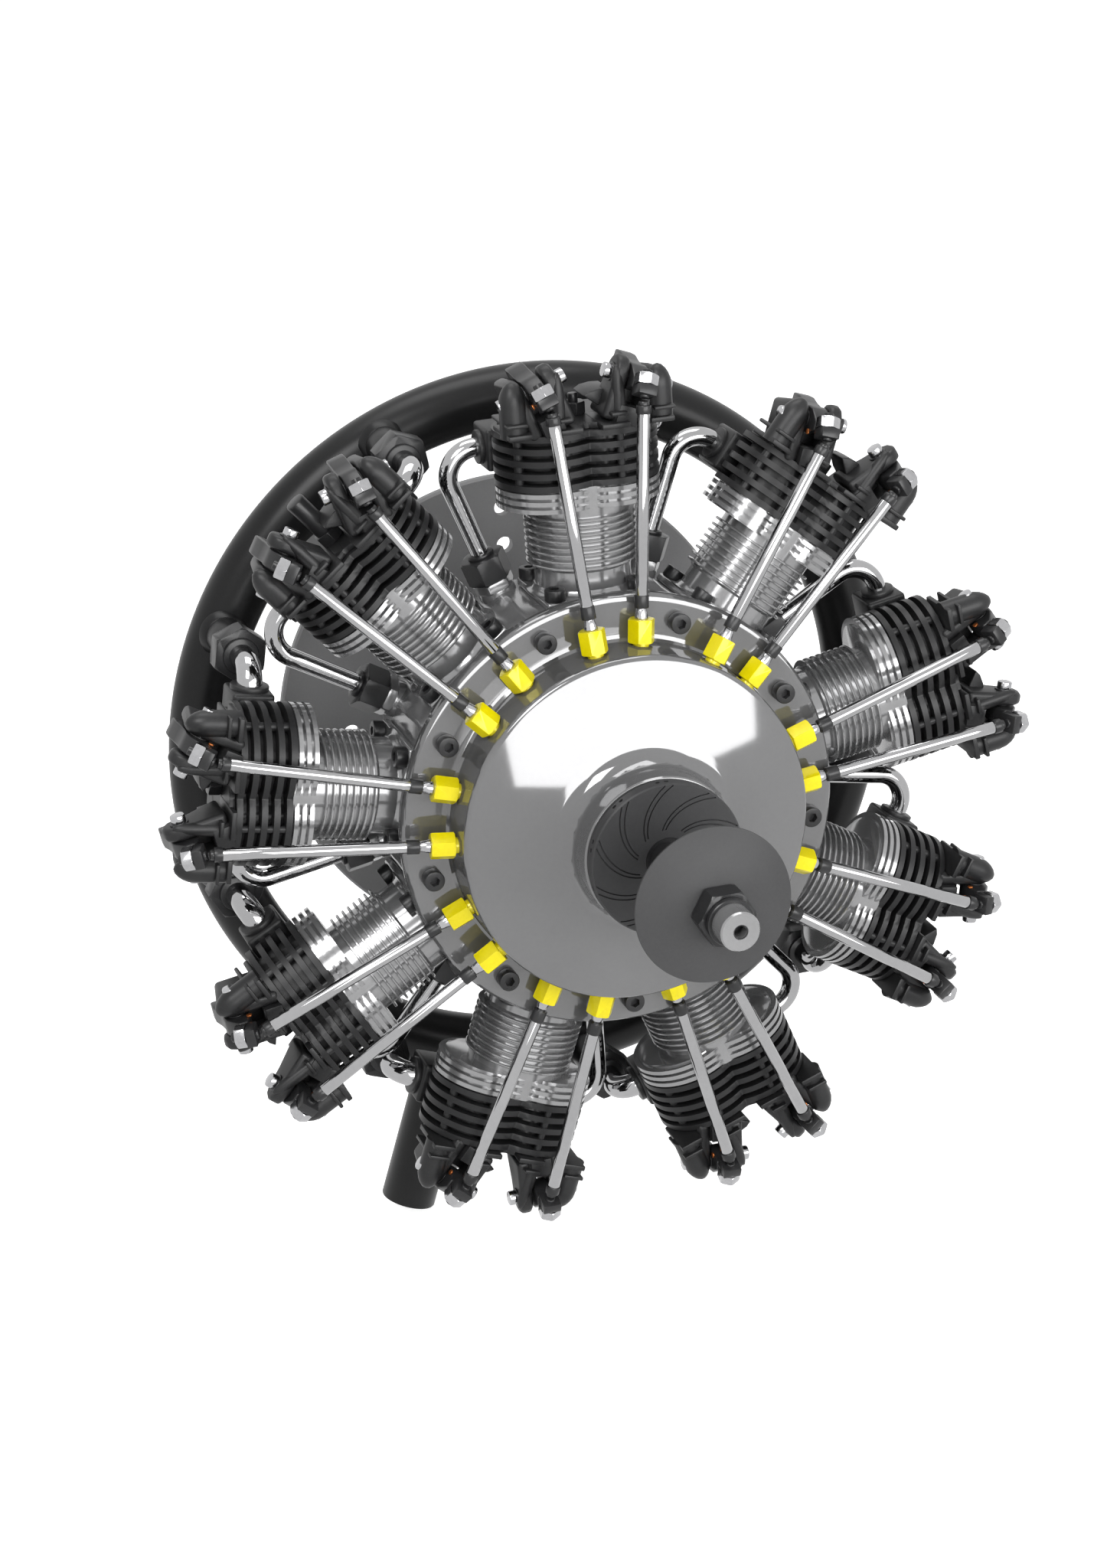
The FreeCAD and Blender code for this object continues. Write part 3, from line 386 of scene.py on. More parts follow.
def make_grain_group():
    """Fine casting or anodised grain: Height for a bump and Shade for colour and roughness."""
    tree, start, end = effect_group("fine_grain", ["Position", "Scale", "Patch Scale"], ["Height", "Shade"])
    fine = add_node(tree, "ShaderNodeTexNoise", (-400, 150), Detail=4.0, Roughness=0.6)
    patch = add_node(tree, "ShaderNodeTexNoise", (-400, -150), Detail=3.0, Roughness=0.55)
    link = tree.links.new
    link(start.outputs["Position"], fine.inputs["Vector"])
    link(start.outputs["Scale"], fine.inputs["Scale"])
    link(start.outputs["Position"], patch.inputs["Vector"])
    link(start.outputs["Patch Scale"], patch.inputs["Scale"])
    link(fine.outputs["Fac"], end.inputs["Height"])
    fine_share = 0.35
    blend = maths(tree, "MULTIPLY_ADD", (0, 0))
    blend.inputs[1].default_value = fine_share
    scaled = maths(tree, "MULTIPLY", (-180, -120))
    scaled.inputs[1].default_value = 1 - fine_share
    link(patch.outputs["Fac"], scaled.inputs[0])
    link(fine.outputs["Fac"], blend.inputs[0])
    link(scaled.outputs[0], blend.inputs[2])
    link(blend.outputs[0], end.inputs["Shade"])
    return tree


def make_turning_group():
    """Fine rings left by the lathe about the shaft's line."""
    tree, start, end = effect_group("lathe_rings", ["Position", "Rings"], ["Height"])
    split = add_node(tree, "ShaderNodeSeparateXYZ", (-600, 0))
    total = maths(tree, "ADD", (-260, 0))
    radius = maths(tree, "SQRT", (-120, 0))
    both = maths(tree, "ADD", (20, 0))
    rings = add_node(tree, "ShaderNodeTexNoise", (300, 0), noise_dimensions="1D", Detail=3.0)
    scale = maths(tree, "MULTIPLY", (160, 0))
    link = tree.links.new
    link(start.outputs["Position"], split.inputs[0])
    for row, out in enumerate(("X", "Z")):
        square = maths(tree, "MULTIPLY", (-420, 80 - 160 * row))
        link(split.outputs[out], square.inputs[0])
        link(split.outputs[out], square.inputs[1])
        link(square.outputs[0], total.inputs[row])
    link(total.outputs[0], radius.inputs[0])
    link(radius.outputs[0], both.inputs[0])
    link(split.outputs["Y"], both.inputs[1])
    link(both.outputs[0], scale.inputs[0])
    link(start.outputs["Rings"], scale.inputs[1])
    link(scale.outputs[0], rings.inputs["W"])
    link(rings.outputs["Fac"], end.inputs["Height"])
    return tree


grain_group = make_grain_group()
turning_group = make_turning_group()


def surface(name, dark, light, metallic, roughness, grain=900.0, patch=25, bump=0.05, depth=0.01, coat=0.0,
            rings=0.0, shine=0.5):
    """A finish whose colour and roughness wander a little, with fine grain or lathe rings as its bump.

    roughness gives the two ends of its range, depth the bump's height in millimetres.
    """
    material = bpy.data.materials.new(name)
    material.use_nodes = True
    tree = material.node_tree
    shader = tree.nodes["Principled BSDF"]
    shader.inputs["Metallic"].default_value = metallic
    shader.inputs["Coat Weight"].default_value = coat
    shader.inputs["Coat Roughness"].default_value = 0.12
    shader.inputs["Specular IOR Level"].default_value = shine
    spot = add_node(tree, "ShaderNodeTexCoord", (-900, 0))
    texture = add_node(tree, "ShaderNodeGroup", (-650, 0))
    texture.node_tree = grain_group
    texture.inputs["Scale"].default_value = grain
    texture.inputs["Patch Scale"].default_value = patch
    link = tree.links.new
    link(spot.outputs["Object"], texture.inputs["Position"])
    colour = add_node(tree, "ShaderNodeValToRGB", (-380, 150))
    for element, position, tone in zip(colour.color_ramp.elements, (0.35, 0.65), (dark, light)):
        element.position = position
        element.color = (*tone, 1)
    rough = add_node(tree, "ShaderNodeMapRange", (-380, -100))
    rough.inputs["From Min"].default_value = 0.3
    rough.inputs["From Max"].default_value = 0.7
    rough.inputs["To Min"].default_value, rough.inputs["To Max"].default_value = roughness
    relief = add_node(tree, "ShaderNodeBump", (-200, -300), Strength=bump, Distance=depth * mm)
    link(texture.outputs["Shade"], colour.inputs["Fac"])
    link(texture.outputs["Shade"], rough.inputs["Value"])
    link(colour.outputs["Color"], shader.inputs["Base Color"])
    link(rough.outputs["Result"], shader.inputs["Roughness"])
    if rings:
        lathe = add_node(tree, "ShaderNodeGroup", (-650, -300))
        lathe.node_tree = turning_group
        lathe.inputs["Rings"].default_value = rings
        link(spot.outputs["Object"], lathe.inputs["Position"])
        link(lathe.outputs["Height"], relief.inputs["Height"])
    else:
        link(texture.outputs["Height"], relief.inputs["Height"])
    link(relief.outputs["Normal"], shader.inputs["Normal"])
    return material


polished = surface("polished_aluminium", (0.178, 0.178, 0.18), (0.196, 0.196, 0.198), 0.62, (0.05, 0.09),
                   grain=700, patch=20, bump=0.02, rings=2500.0)
satin_case = surface("satin_aluminium", (0.27, 0.27, 0.273), (0.31, 0.31, 0.313), 0.6, (0.14, 0.22))
turned_alloy = surface("fin_alloy", (0.29, 0.29, 0.293), (0.34, 0.34, 0.344), 0.7, (0.12, 0.2), patch=60)
chrome = surface("chrome_plate", (0.40, 0.40, 0.405), (0.45, 0.45, 0.455), 1.0, (0.03, 0.07), grain=500, patch=30,
                 bump=0.02)
black_casting = surface("black_head_casting", (0.010, 0.010, 0.0105), (0.017, 0.017, 0.0175), 0.0, (0.34, 0.46),
                        grain=1400, patch=70, bump=0.2, depth=0.03, shine=0.32)
black_steel = surface("blackened_steel", (0.012, 0.012, 0.0125), (0.019, 0.019, 0.02), 0.0, (0.26, 0.38),
                      grain=1100, patch=80, bump=0.1, depth=0.02, shine=0.4)
washer_black = surface("black_anodised", (0.034, 0.034, 0.035), (0.043, 0.043, 0.044), 0.0, (0.4, 0.46), bump=0.04,
                       rings=1500.0, shine=0.22)
# The dome's material is the drive washer's black anodising made lighter: painted light, for the light the dome
# catches.
dome_black_painted_light = surface("black_anodised_painted_light", (0.046, 0.046, 0.047), (0.056, 0.056, 0.057), 0.0, (0.4, 0.46), bump=0.04,
                     rings=1500.0, shine=0.15)
ring_grey = surface("collector_coating", (0.007, 0.007, 0.0073), (0.011, 0.011, 0.0113), 0.0, (0.28, 0.36),
                    grain=1200, patch=30, bump=0.1, depth=0.02, shine=0.22)
# The plate's grey is lighter than its own colour to make up for the shade it stands in behind the ring: painted
# light.
plate_grey = surface("plate_anodised_painted_light", (0.28, 0.28, 0.284), (0.32, 0.32, 0.324), 0.1, (0.45, 0.55), grain=1200,
                     bump=0.1, depth=0.02, shine=0.3)
yellow = surface("yellow_anodised", (0.62, 0.52, 0.0), (0.72, 0.62, 0.001), 0.1, (0.18, 0.26), patch=60, bump=0.04,
                 coat=0.15, shine=0.4)
bright_steel = surface("bright_steel", (0.42, 0.42, 0.43), (0.52, 0.52, 0.53), 1.0, (0.1, 0.18), patch=90)
bronze = surface("bronze_bush", (0.42, 0.12, 0.03), (0.6, 0.2, 0.06), 0.8, (0.25, 0.35), patch=90)


# Camera and light

fill_level = 0.26
floor_glow = 0.78


def make_camera():
    """The photograph's own place and lens, worked out from the points that repeat round the engine."""
    camera_place = (-0.33181, -1.18257, 0.41467)
    view_direction = Vector((0.26540, 0.90142, -0.34206))
    picture_right = Vector((0.95145, -0.30224, -0.05827))
    camera = bpy.data.cameras.new("camera")
    camera.sensor_width = 36
    camera.lens = 80.87
    camera.clip_start, camera.clip_end = 0.05, 20
    obj = bpy.data.objects.new("camera", camera)
    bpy.context.scene.collection.objects.link(obj)
    ahead = view_direction.normalized()
    right = (picture_right - ahead * ahead.dot(picture_right)).normalized()
    up = right.cross(ahead)
    obj.matrix_world = Matrix.Translation(camera_place) @ Matrix((right, up, -ahead)).transposed().to_4x4()
    bpy.context.scene.camera = obj


def soft_lamp(name, place, aim, size, power):
    lamp = bpy.data.lights.new(name, "AREA")
    lamp.shape = "RECTANGLE"
    lamp.size, lamp.size_y = size
    lamp.energy = power
    obj = bpy.data.objects.new(name, lamp)
    bpy.context.scene.collection.objects.link(obj)
    obj.location = place
    obj.rotation_euler = (Vector(aim) - Vector(place)).to_track_quat("-Z", "Y").to_euler()
    return obj


def either(tree, first, second, place):
    """The larger of two ray tests, so one where either holds."""
    node = maths(tree, "MAXIMUM", place)
    tree.links.new(first, node.inputs[0])
    tree.links.new(second, node.inputs[1])
    return node.outputs[0]


def make_world():
    """White where the camera, metal or glass sees it, and a dim fill for everything else."""
    world = bpy.data.worlds.new("studio")
    bpy.context.scene.world = world
    world.use_nodes = True
    tree = world.node_tree
    back = tree.nodes["Background"]
    rays = add_node(tree, "ShaderNodeLightPath", (-600, 0)).outputs
    seen = either(tree, rays["Is Camera Ray"], rays["Is Glossy Ray"], (-480, 80))
    seen = either(tree, seen, rays["Is Transmission Ray"], (-340, 0))
    level = add_node(tree, "ShaderNodeMapRange", (-200, 0))
    level.inputs["To Min"].default_value = fill_level
    level.inputs["To Max"].default_value = 1.0
    tree.links.new(seen, level.inputs["Value"])
    tree.links.new(level.outputs["Result"], back.inputs["Strength"])
    back.inputs["Color"].default_value = (1, 1, 1, 1)


def make_floor():
    """A pale floor that keeps the engine's shadow and is plain white in reflections."""
    only(None)
    bpy.ops.mesh.primitive_plane_add(size=12, location=(0, 0, cad_low.z - 0.002))
    floor = bpy.context.object
    floor.name = "floor"
    material = bpy.data.materials.new("pale_floor")
    material.use_nodes = True
    tree = material.node_tree
    shader = tree.nodes["Principled BSDF"]
    shader.inputs["Base Color"].default_value = (0.85, 0.85, 0.85, 1)
    shader.inputs["Roughness"].default_value = 0.9
    shader.inputs["Emission Color"].default_value = (1, 1, 1, 1)
    rays = add_node(tree, "ShaderNodeLightPath", (-600, -200)).outputs
    glow = maths(tree, "MULTIPLY", (-200, -200))
    glow.inputs[1].default_value = floor_glow
    link = tree.links.new
    link(rays["Is Camera Ray"], glow.inputs[0])
    link(glow.outputs[0], shader.inputs["Emission Strength"])
    mirrored = either(tree, rays["Is Glossy Ray"], rays["Is Transmission Ray"], (-340, -400))
    white = add_node(tree, "ShaderNodeEmission", (300, -300))
    blend = add_node(tree, "ShaderNodeMixShader", (520, 0))
    link(mirrored, blend.inputs[0])
    link(shader.outputs[0], blend.inputs[1])
    link(white.outputs[0], blend.inputs[2])
    link(blend.outputs[0], tree.nodes["Material Output"].inputs["Surface"])
    paint(floor, material)


def make_studio():
    bpy.context.scene.view_settings.view_transform = "Standard"
    make_world()
    soft_lamp("key", (-0.9, -1.3, 1.5), (0, -0.1, 0), size=(0.9, 0.9), power=24)
    soft_lamp("fill", (1.6, -1.2, 0.3), (0, -0.1, 0), size=(1.0, 1.0), power=4).visible_glossy = False
    soft_lamp("top", (0.1, 0.2, 1.6), (0, -0.1, 0), size=(1.2, 0.8), power=11)
    soft_lamp("front", (0.42, -1.6, 0.28), (0, -0.15, 0.03), size=(1.9, 0.78), power=27)
    make_floor()


# Front of the engine


def build_cover():
    """Flange, tappet wall, shallow cone and flared neck, polished all over."""
    inside_radius, inside_front = 54, -141
    shaft_hole = 8.6
    root_fillet, wall_corner = 2.4, 2.2
    cone_radius, cone_front = 34.6, -151.9
    flare_length = 8.0
    rim, root, neck = 76, 60, 26.3
    profile = [(inside_radius, case_front), (rim, case_front), (rim, flange_front + 2.0),
               (rim - 0.3, flange_front + 1.1), (rim - 1.0, flange_front + 0.3), (rim - 2.1, flange_front),
               (rim - 2.7, flange_front), (cover_screw_circle, flange_front),
               (root + root_fillet + 0.8, flange_front), (root + root_fillet, flange_front)]
    for degrees in (30, 60, 90):
        a = math.radians(degrees)
        profile.append((root + root_fillet * (1 - math.sin(a)), flange_front - root_fillet * (1 - math.cos(a))))
    profile.append((root, wall_front + wall_corner))
    for degrees in (20, 33.75, 47.5, 61.25, 75):
        a = math.radians(degrees)
        profile.append((root - wall_corner * (1 - math.cos(a)), wall_front + wall_corner * (1 - math.sin(a))))
    profile.append((cone_radius, cone_front))
    for degrees in (15, 30, 45, 60, 75, 90):
        a = math.radians(degrees)
        profile.append((neck + (cone_radius - neck) * (1 - math.sin(a)),
                        cone_front - flare_length * (1 - math.cos(a))))
    profile += [(neck, neck_front + 0.8), (neck - 0.4, neck_front + 0.2),
                (neck - 1.1, neck_front), (shaft_hole, neck_front), (shaft_hole, inside_front),
                (inside_radius, inside_front), (inside_radius, case_front)]
    cover = paint(turned(profile, 192), polished)
    place(cover, "cover_casting", "engine", ["front_cover"], "polished_case")


def cap_screw():
    """Socket cap screw head standing on the origin along +Z."""
    head_radius, head_height = 3.5, 4
    socket_radius, socket_floor, tool_height = 1.75, 1.7, 5
    head = cylinder(36, head_radius, head_height, (0, 0, head_height / 2))
    round_edges(head, 0.35, 3)
    cut(head, cylinder(6, socket_radius, tool_height, (0, 0, socket_floor + tool_height / 2)))
    return paint(smooth(head), black_steel)


def build_screws():
    """One cover screw between two cylinders and four base screws on each cylinder's flange."""
    head = cap_screw()
    cover_screw = copy_of(head, station(0.5) @ axes_matrix((0, flange_front, cover_screw_circle), -Y))
    seat = pad_distance + barrel_flange_thickness
    step = base_screw_offset
    base = [copy_of(head, axes_matrix((across * step, cylinder_plane + along * step, seat), Z))
            for across in (-1, 1) for along in (-1, 1)]
    bpy.data.objects.remove(head)
    round_the_engine([cover_screw] + base, "cap_screws", ["socket_screws"], "blued_steel")


def groove_tool():
    """A thin curved blade that runs in from the drive washer's rim and leans as it goes."""
    outer_end, stride, stations = 25.4, 1.25, 13
    lean_per_mm = 0.052
    groove_depth, groove_width = 0.6, 0.45
    run = []
    for i in range(stations):
        radius = outer_end - i * stride
        a = lean_per_mm * radius
        run.append((radius * math.sin(a), washer_front - groove_depth, radius * math.cos(a)))
    blade = trace(run)
    draw_out((0, 2 * groove_depth * mm, 0))
    done_editing()
    only(blade)
    thick = blade.modifiers.new("thick", "SOLIDIFY")
    thick.thickness = groove_width * mm
    thick.offset = 0
    bpy.ops.object.modifier_apply(modifier=thick.name)
    return bake_place(clean(blade))


def build_drive_washer():
    """Black washer with small holes round its rim and paired curved grooves in its face."""
    bore = 7.6
    rim_hole_radius = 0.8
    pairs, half_gap = 10, 3.2
    washer = turned([(bore, washer_rear), (washer_radius - 1.2, washer_rear), (washer_radius, washer_rear - 1.2),
                     (washer_radius, washer_front + 0.5), (washer_radius - 0.5, washer_front), (bore, washer_front),
                     (bore, washer_rear)], 128)
    blade = groove_tool()
    rim_middle = Y * -171.2
    tools = []
    for k in range(pairs):
        for shift in (-half_gap, half_gap):
            degrees = k * 360 / pairs + shift
            out = ray(degrees)
            tools.append(bar(rim_hole_radius, out * (washer_radius - 3) + rim_middle,
                             out * (washer_radius + 2) + rim_middle, 12, 0))
            tools.append(copy_of(blade, Matrix.Rotation(math.radians(degrees), 4, "Y")))
    bpy.data.objects.remove(blade)
    cut(washer, join(tools))
    place(paint(smooth(washer, 28), washer_black), "grooved_drive_washer", "crank", ["drive_washer"], "blued_steel")


def build_domed_washer():
    """Shallow dome with a thin rounded rim."""
    rim = washer_radius
    edge, stations = 0.9, 14
    dome = [(bright_end_radius, dome_rear), (rim - 0.5, dome_rear), (rim, dome_rear - 0.4),
            (rim - 0.1, dome_rear - edge)]
    rise = dome_rear - dome_front - edge
    for i in range(1, stations + 1):
        radius = rim - 0.1 - i * (rim - bright_end_radius - 0.1) / stations
        dome.append((radius, dome_rear - edge - rise * (1 - (radius / (rim - 0.1)) ** 2)))
    dome.append((bright_end_radius, dome_rear))
    # The dome takes the lighter copy of the black anodising: painted light.
    place(paint(turned(dome, 144, 40), dome_black_painted_light), "domed_washer", "crank", ["prop_washer"], "blued_steel")


def build_propeller_nut():
    """Nut and thin lock ring, and the bright sleeve on the shaft's end."""
    nut_flats = 17
    ring_radius = 7.7
    hole_radius = 2.05
    bore = bright_end_radius
    nut = hexagon(nut_flats, dome_front - nut_front, (0, dome_front + 0.2, 0), -Y, Z, shaft_radius)
    ring = turned([(bore, nut_front), (ring_radius - 0.2, nut_front), (ring_radius, nut_front - 0.3),
                   (ring_radius, lock_front + 0.3), (ring_radius - 0.3, lock_front), (bore, lock_front),
                   (bore, nut_front)], 64)
    place(paint(join([nut, ring]), black_steel), "propeller_nut", "crank", ["prop_nut"], "blued_steel")
    inside, outside = shaft_radius + 0.04, shaft_radius + 0.3
    sleeve = [(inside, lock_front + 0.4), (outside, lock_front + 0.4), (outside, shaft_tip + 0.6),
              (shaft_radius - 0.1, shaft_tip - 0.15), (hole_radius + 0.45, shaft_tip - 0.15),
              (hole_radius, shaft_tip + 0.5), (hole_radius, shaft_tip + 4), (inside, shaft_tip + 4),
              (inside, lock_front + 0.4)]
    place(paint(turned(sleeve, 64), satin_case), "bright_shaft_end", "crank", (), "plain_steel")


# Valve gear; side is -1 for the intake and 1 for the exhaust

guide_setback = {-1: 36.6, 1: 32.5}
valve_sides = ((-1, "intake"), (1, "exhaust"))


def guide_point(side):
    """The middle of a tappet guide's outer end; the two sides stand in two planes for the two cam rows."""
    return Vector((side * guide_offset, cylinder_plane - guide_setback[side], guide_distance))


tilt = math.radians(21)
lean = math.radians(23.2)


def tower_axes(side):
    """The rocker pin's middle, its outward direction and the tower's upward one."""
    outward = Vector((side * math.cos(tilt), 0, -math.sin(tilt)))
    upward = Vector((side * math.sin(tilt), 0, math.cos(tilt)))
    return Vector((side * pivot_offset, pivot_plane, pivot_distance)), outward, upward


def tower_matrix(side):
    """From a tower drawn with X across, Y rearward and Z up to its place on the first cylinder's head."""
    pivot, outward, upward = tower_axes(side)
    return Matrix.Translation(pivot * mm) @ Matrix((outward, Y, upward)).transposed().to_4x4()


def adjuster_line(side):
    """The adjuster's lower tip and its direction, in place on cylinder 1."""
    tip_drop = 6.4
    pivot, outward, upward = tower_axes(side)
    direction = Y * math.sin(lean) + upward * math.cos(lean)
    nut_centre = pivot + outward * rocker_across - Y * adjuster_setback + upward * adjuster_rise
    return nut_centre - direction * tip_drop, direction


def pushrod_parts(side):
    """Neck, collars and tube of one pushrod, in its place on cylinder 1."""
    neck, tube, lower_collar, upper_collar = 1.65, 2.15, 2.45, 2.5
    start = guide_point(side)
    foot = adjuster_line(side)[0]
    along = (foot - start).normalized()
    length = (foot - start).length

    def at(s):
        return start + along * s
    return [paint(bar(neck, at(-14), at(7.9), 24, 0.1), bright_steel),
            paint(bar(2.35, at(4.05), at(7.5), 24, 0.15, tip_radius=neck), bright_steel),
            paint(bar(lower_collar, at(7.6), at(12.0), 28, 0.3), black_steel),
            paint(bar(tube, at(11.9), at(length - 4.5), 36, 0.1), chrome),
            paint(bar(upper_collar, at(length - 4.8), at(length - 1.9), 28, 0.35), black_steel),
            paint(bar(1.9, at(length - 2.0), at(length - 0.6), 24, 0.2, tip_radius=1.6), black_steel)]


def moving_copies(shape, kind, slot, matrix=Matrix()):
    """Nine copies of a piece of cylinder 1, each riding on its own body."""
    for k in range(cylinder_count):
        node = kind + "_" + str(k + 1)
        place(copy_of(shape, station(k) @ matrix), node + "_finished", node, [node], slot)


def build_pushrods():
    for side, valve in valve_sides:
        rod = join(pushrod_parts(side))
        moving_copies(rod, "pushrod_" + valve, "chrome_tube")
        bpy.data.objects.remove(rod)


def build_guides():
    guide_flats, guide_height = 8, 8
    parts = []
    for side in (-1, 1):
        start = guide_point(side)
        along = (adjuster_line(side)[0] - start).normalized()
        base = start - along * guide_height / 2
        parts.append(paint(hexagon(guide_flats, guide_height, base, along, Y, 1.8), yellow))
        parts.append(paint(bar(2.7, start - along * 6, start - along * 3.6, 24, 0.1), yellow))
    round_the_engine(parts, "yellow_tappet_guides", ["tappet_guides"], "yellow_guide")


def rocker_parts():
    """Arm, adjuster's boss, lock nut and adjuster drawn about the pin: X across, Y rearward, Z up."""
    arm_thickness = 6
    nut_flats, nut_height = 6.9, 3.6
    screw_radius, tip_radius = 1.6, 1.3
    outline = [(-8.2, -2.2), (-5.0, -3.6), (-2.4, -4.2), (0, -4.5), (2.4, -4.2), (6.5, -1.6), (11.0, 0.9),
               (15.8, 1.0), (15.8, 5.8), (11.0, 5.9), (7.0, 4.9), (2.6, 4.3), (0, 4.7), (-2.6, 4.3), (-5.4, 2.6),
               (-8.2, 1.0)]
    arm = plate(outline, arm_thickness)
    arm.location.x = (rocker_across - arm_thickness / 2) * mm
    bake_place(arm)
    round_edges(arm, 0.6, 3)
    direction = Vector((0, math.sin(lean), math.cos(lean)))
    nut_centre = Vector((rocker_across, -adjuster_setback, adjuster_rise))
    seat = nut_centre - direction * nut_height / 2
    boss = block((-3.25, -3.25, -3.6), (3.25, 3.4, 0), 0.45)
    bake_place(boss, axes_matrix(seat, direction, X))
    screw = bar(screw_radius, seat - direction * 4.2, seat + direction * 5.2, 24, 0.3)
    tip = bar(tip_radius, nut_centre - direction * 6.1, seat - direction * 4.0, 20, 0.1, tip_radius=screw_radius)
    nut = hexagon(nut_flats, nut_height, seat, direction, X)
    return [paint(smooth(arm), black_steel), paint(boss, black_steel), paint(nut, bright_steel),
            paint(screw, black_steel), paint(tip, black_steel)]


def build_rockers():
    shape = join(rocker_parts())
    for side, valve in valve_sides:
        moving_copies(shape, "rocker_" + valve, "blued_steel", tower_matrix(side))
    bpy.data.objects.remove(shape)


def pin_parts():
    """Rocker pin with a bright head at each end, thrust washers and a small bronze stop in the slot."""
    pin_radius, head_radius, collar_radius, washer_half = 2.0, 2.55, 3.2, 3.0
    half, reach = 9.0, 12.2
    parts = [paint(bar(pin_radius, (-9.2, 0, 0), (9.2, 0, 0), 24, 0.1), bright_steel)]
    for end in (-1, 1):
        parts.append(paint(bar(head_radius, (end * half, 0, 0), (end * reach, 0, 0), 28, 0.4), bright_steel))
        parts.append(paint(bar(collar_radius, (end * 9.05, 0, 0), (end * 9.6, 0, 0), 28, 0.15), black_steel))
    for across in (-4.35, 2.2):
        parts.append(paint(bar(washer_half, (across, 0, 0), (across + 0.35, 0, 0), 32, 0.05), black_steel))
    parts.append(paint(bar(0.95, (2.15, -4.6, -3.5), (2.6, -4.6, -3.5), 16, 0.05), bronze))
    return parts


def in_both_towers(parts):
    """Parts drawn about the rocker pin, joined, and set in the intake's and the exhaust's tower."""
    shape = join(parts)
    both = [copy_of(shape, tower_matrix(side)) for side in (-1, 1)]
    bpy.data.objects.remove(shape)
    return both


def build_pins():
    round_the_engine(in_both_towers(pin_parts()), "rocker_pins_and_bushes", ["rocker_pins"], "plain_steel")


def spring_parts():
    """Coil spring, retainer and stem tip on the slot's floor."""
    turns, steps_per_turn = 4.5, 14
    coil_radius, wire_radius = 2.45, 0.38
    retainer_radius, stem_radius = 3.2, 1.25
    low, high = slot_floor, -3.6
    steps = turns * steps_per_turn
    points = []
    for i in range(int(steps) + 1):
        a = math.tau * i / steps_per_turn
        points.append((rocker_across + coil_radius * math.cos(a), spring_setback + coil_radius * math.sin(a),
                       low + 0.4 + (high - low) * i / steps))
    path = bpy.data.curves.new("spring_line", "CURVE")
    path.dimensions = "3D"
    path.bevel_depth = wire_radius * mm
    path.bevel_resolution = 2
    line = path.splines.new("POLY")
    line.points.add(len(points) - 1)
    for p, q in zip(line.points, points):
        p.co = (q[0] * mm, q[1] * mm, q[2] * mm, 1)
    path.use_fill_caps = True
    spring = bpy.data.objects.new("spring", path)
    bpy.context.scene.collection.objects.link(spring)
    only(spring)
    bpy.ops.object.convert(target="MESH")
    parts = [paint(smooth(bpy.context.object, 50), bright_steel)]

    def at(z):
        return (rocker_across, spring_setback, z)
    parts.append(paint(bar(retainer_radius, at(high), at(high + 1.3), 28, 0.3), black_steel))
    parts.append(paint(bar(stem_radius, at(low), at(-1.1), 20, 0.1), bright_steel))
    return parts


def build_springs():
    round_the_engine(in_both_towers(spring_parts()), "valve_springs_finished", ["valve_springs"], "rod_steel")


# Cylinders and heads


def lobed(radius, z_from, z_to, edge=0.25, waist=3.0):
    """The head's outline, two round lobes run together with a soft waist, as one flat disc."""
    middle = (z_from + z_to) / 2
    discs = [cylinder(64, radius, z_to - z_from, (side * lobe_offset, cylinder_plane, middle)) for side in (-1, 1)]
    disc = cut(discs[0], discs[1], "UNION")
    editing(disc, "EDGE")
    bpy.ops.mesh.select_all(action="DESELECT")
    done_editing()
    for e in disc.data.edges:
        a, b = (disc.data.vertices[i].co for i in e.vertices)
        e.select = abs(a.x) < 0.05 * mm and abs(b.x) < 0.05 * mm and abs(a.z - b.z) > 0.5 * mm
    bpy.ops.object.mode_set(mode="EDIT")
    bpy.ops.mesh.bevel(offset=waist * mm, segments=6, affect="EDGES")
    done_editing()
    return smooth(round_edges(disc, edge, 1, 50), 35)


def cheek(outline, thickness, across, rounding):
    wall = plate(outline, thickness)
    wall.location.x = across * mm
    bake_place(wall)
    return smooth(round_edges(wall, rounding, 5, 40), 40)


def tower_parts():
    """One rocker tower about its pin: pin boss, domed outer and slim inner cheek, slot floor, spring wall."""
    foot, wall_foot = -15, -12
    dome = [(-3.6, foot), (-3.6, 0.9), (-3.0, 2.9), (-1.8, 4.4), (0.3, 5.2), (4, 5.2), (20, 2.4), (20, foot)]
    slim = [(-5.0, foot), (-5.0, 0.5), (-4.2, 3.6), (-2.5, 5.6), (0.3, 6.3), (3.0, 5.7), (5.0, 3.6), (6.6, -4),
            (11, foot)]
    spring_wall = [(4.6, wall_foot), (4.6, -4.4), (10.2, -1.6), (10.2, wall_foot)]
    return [bar(3.6, (6, 0, 0), (9.1, 0, 0), 32, 0.4), cheek(dome, 4.4, 2.6, 1.6), cheek(slim, 4.7, -9.1, 1.6),
            block((-4.6, -6.0, foot), (2.8, 20, slot_floor), 0.3), cheek(spring_wall, 7.4, -4.6, 0.2)]


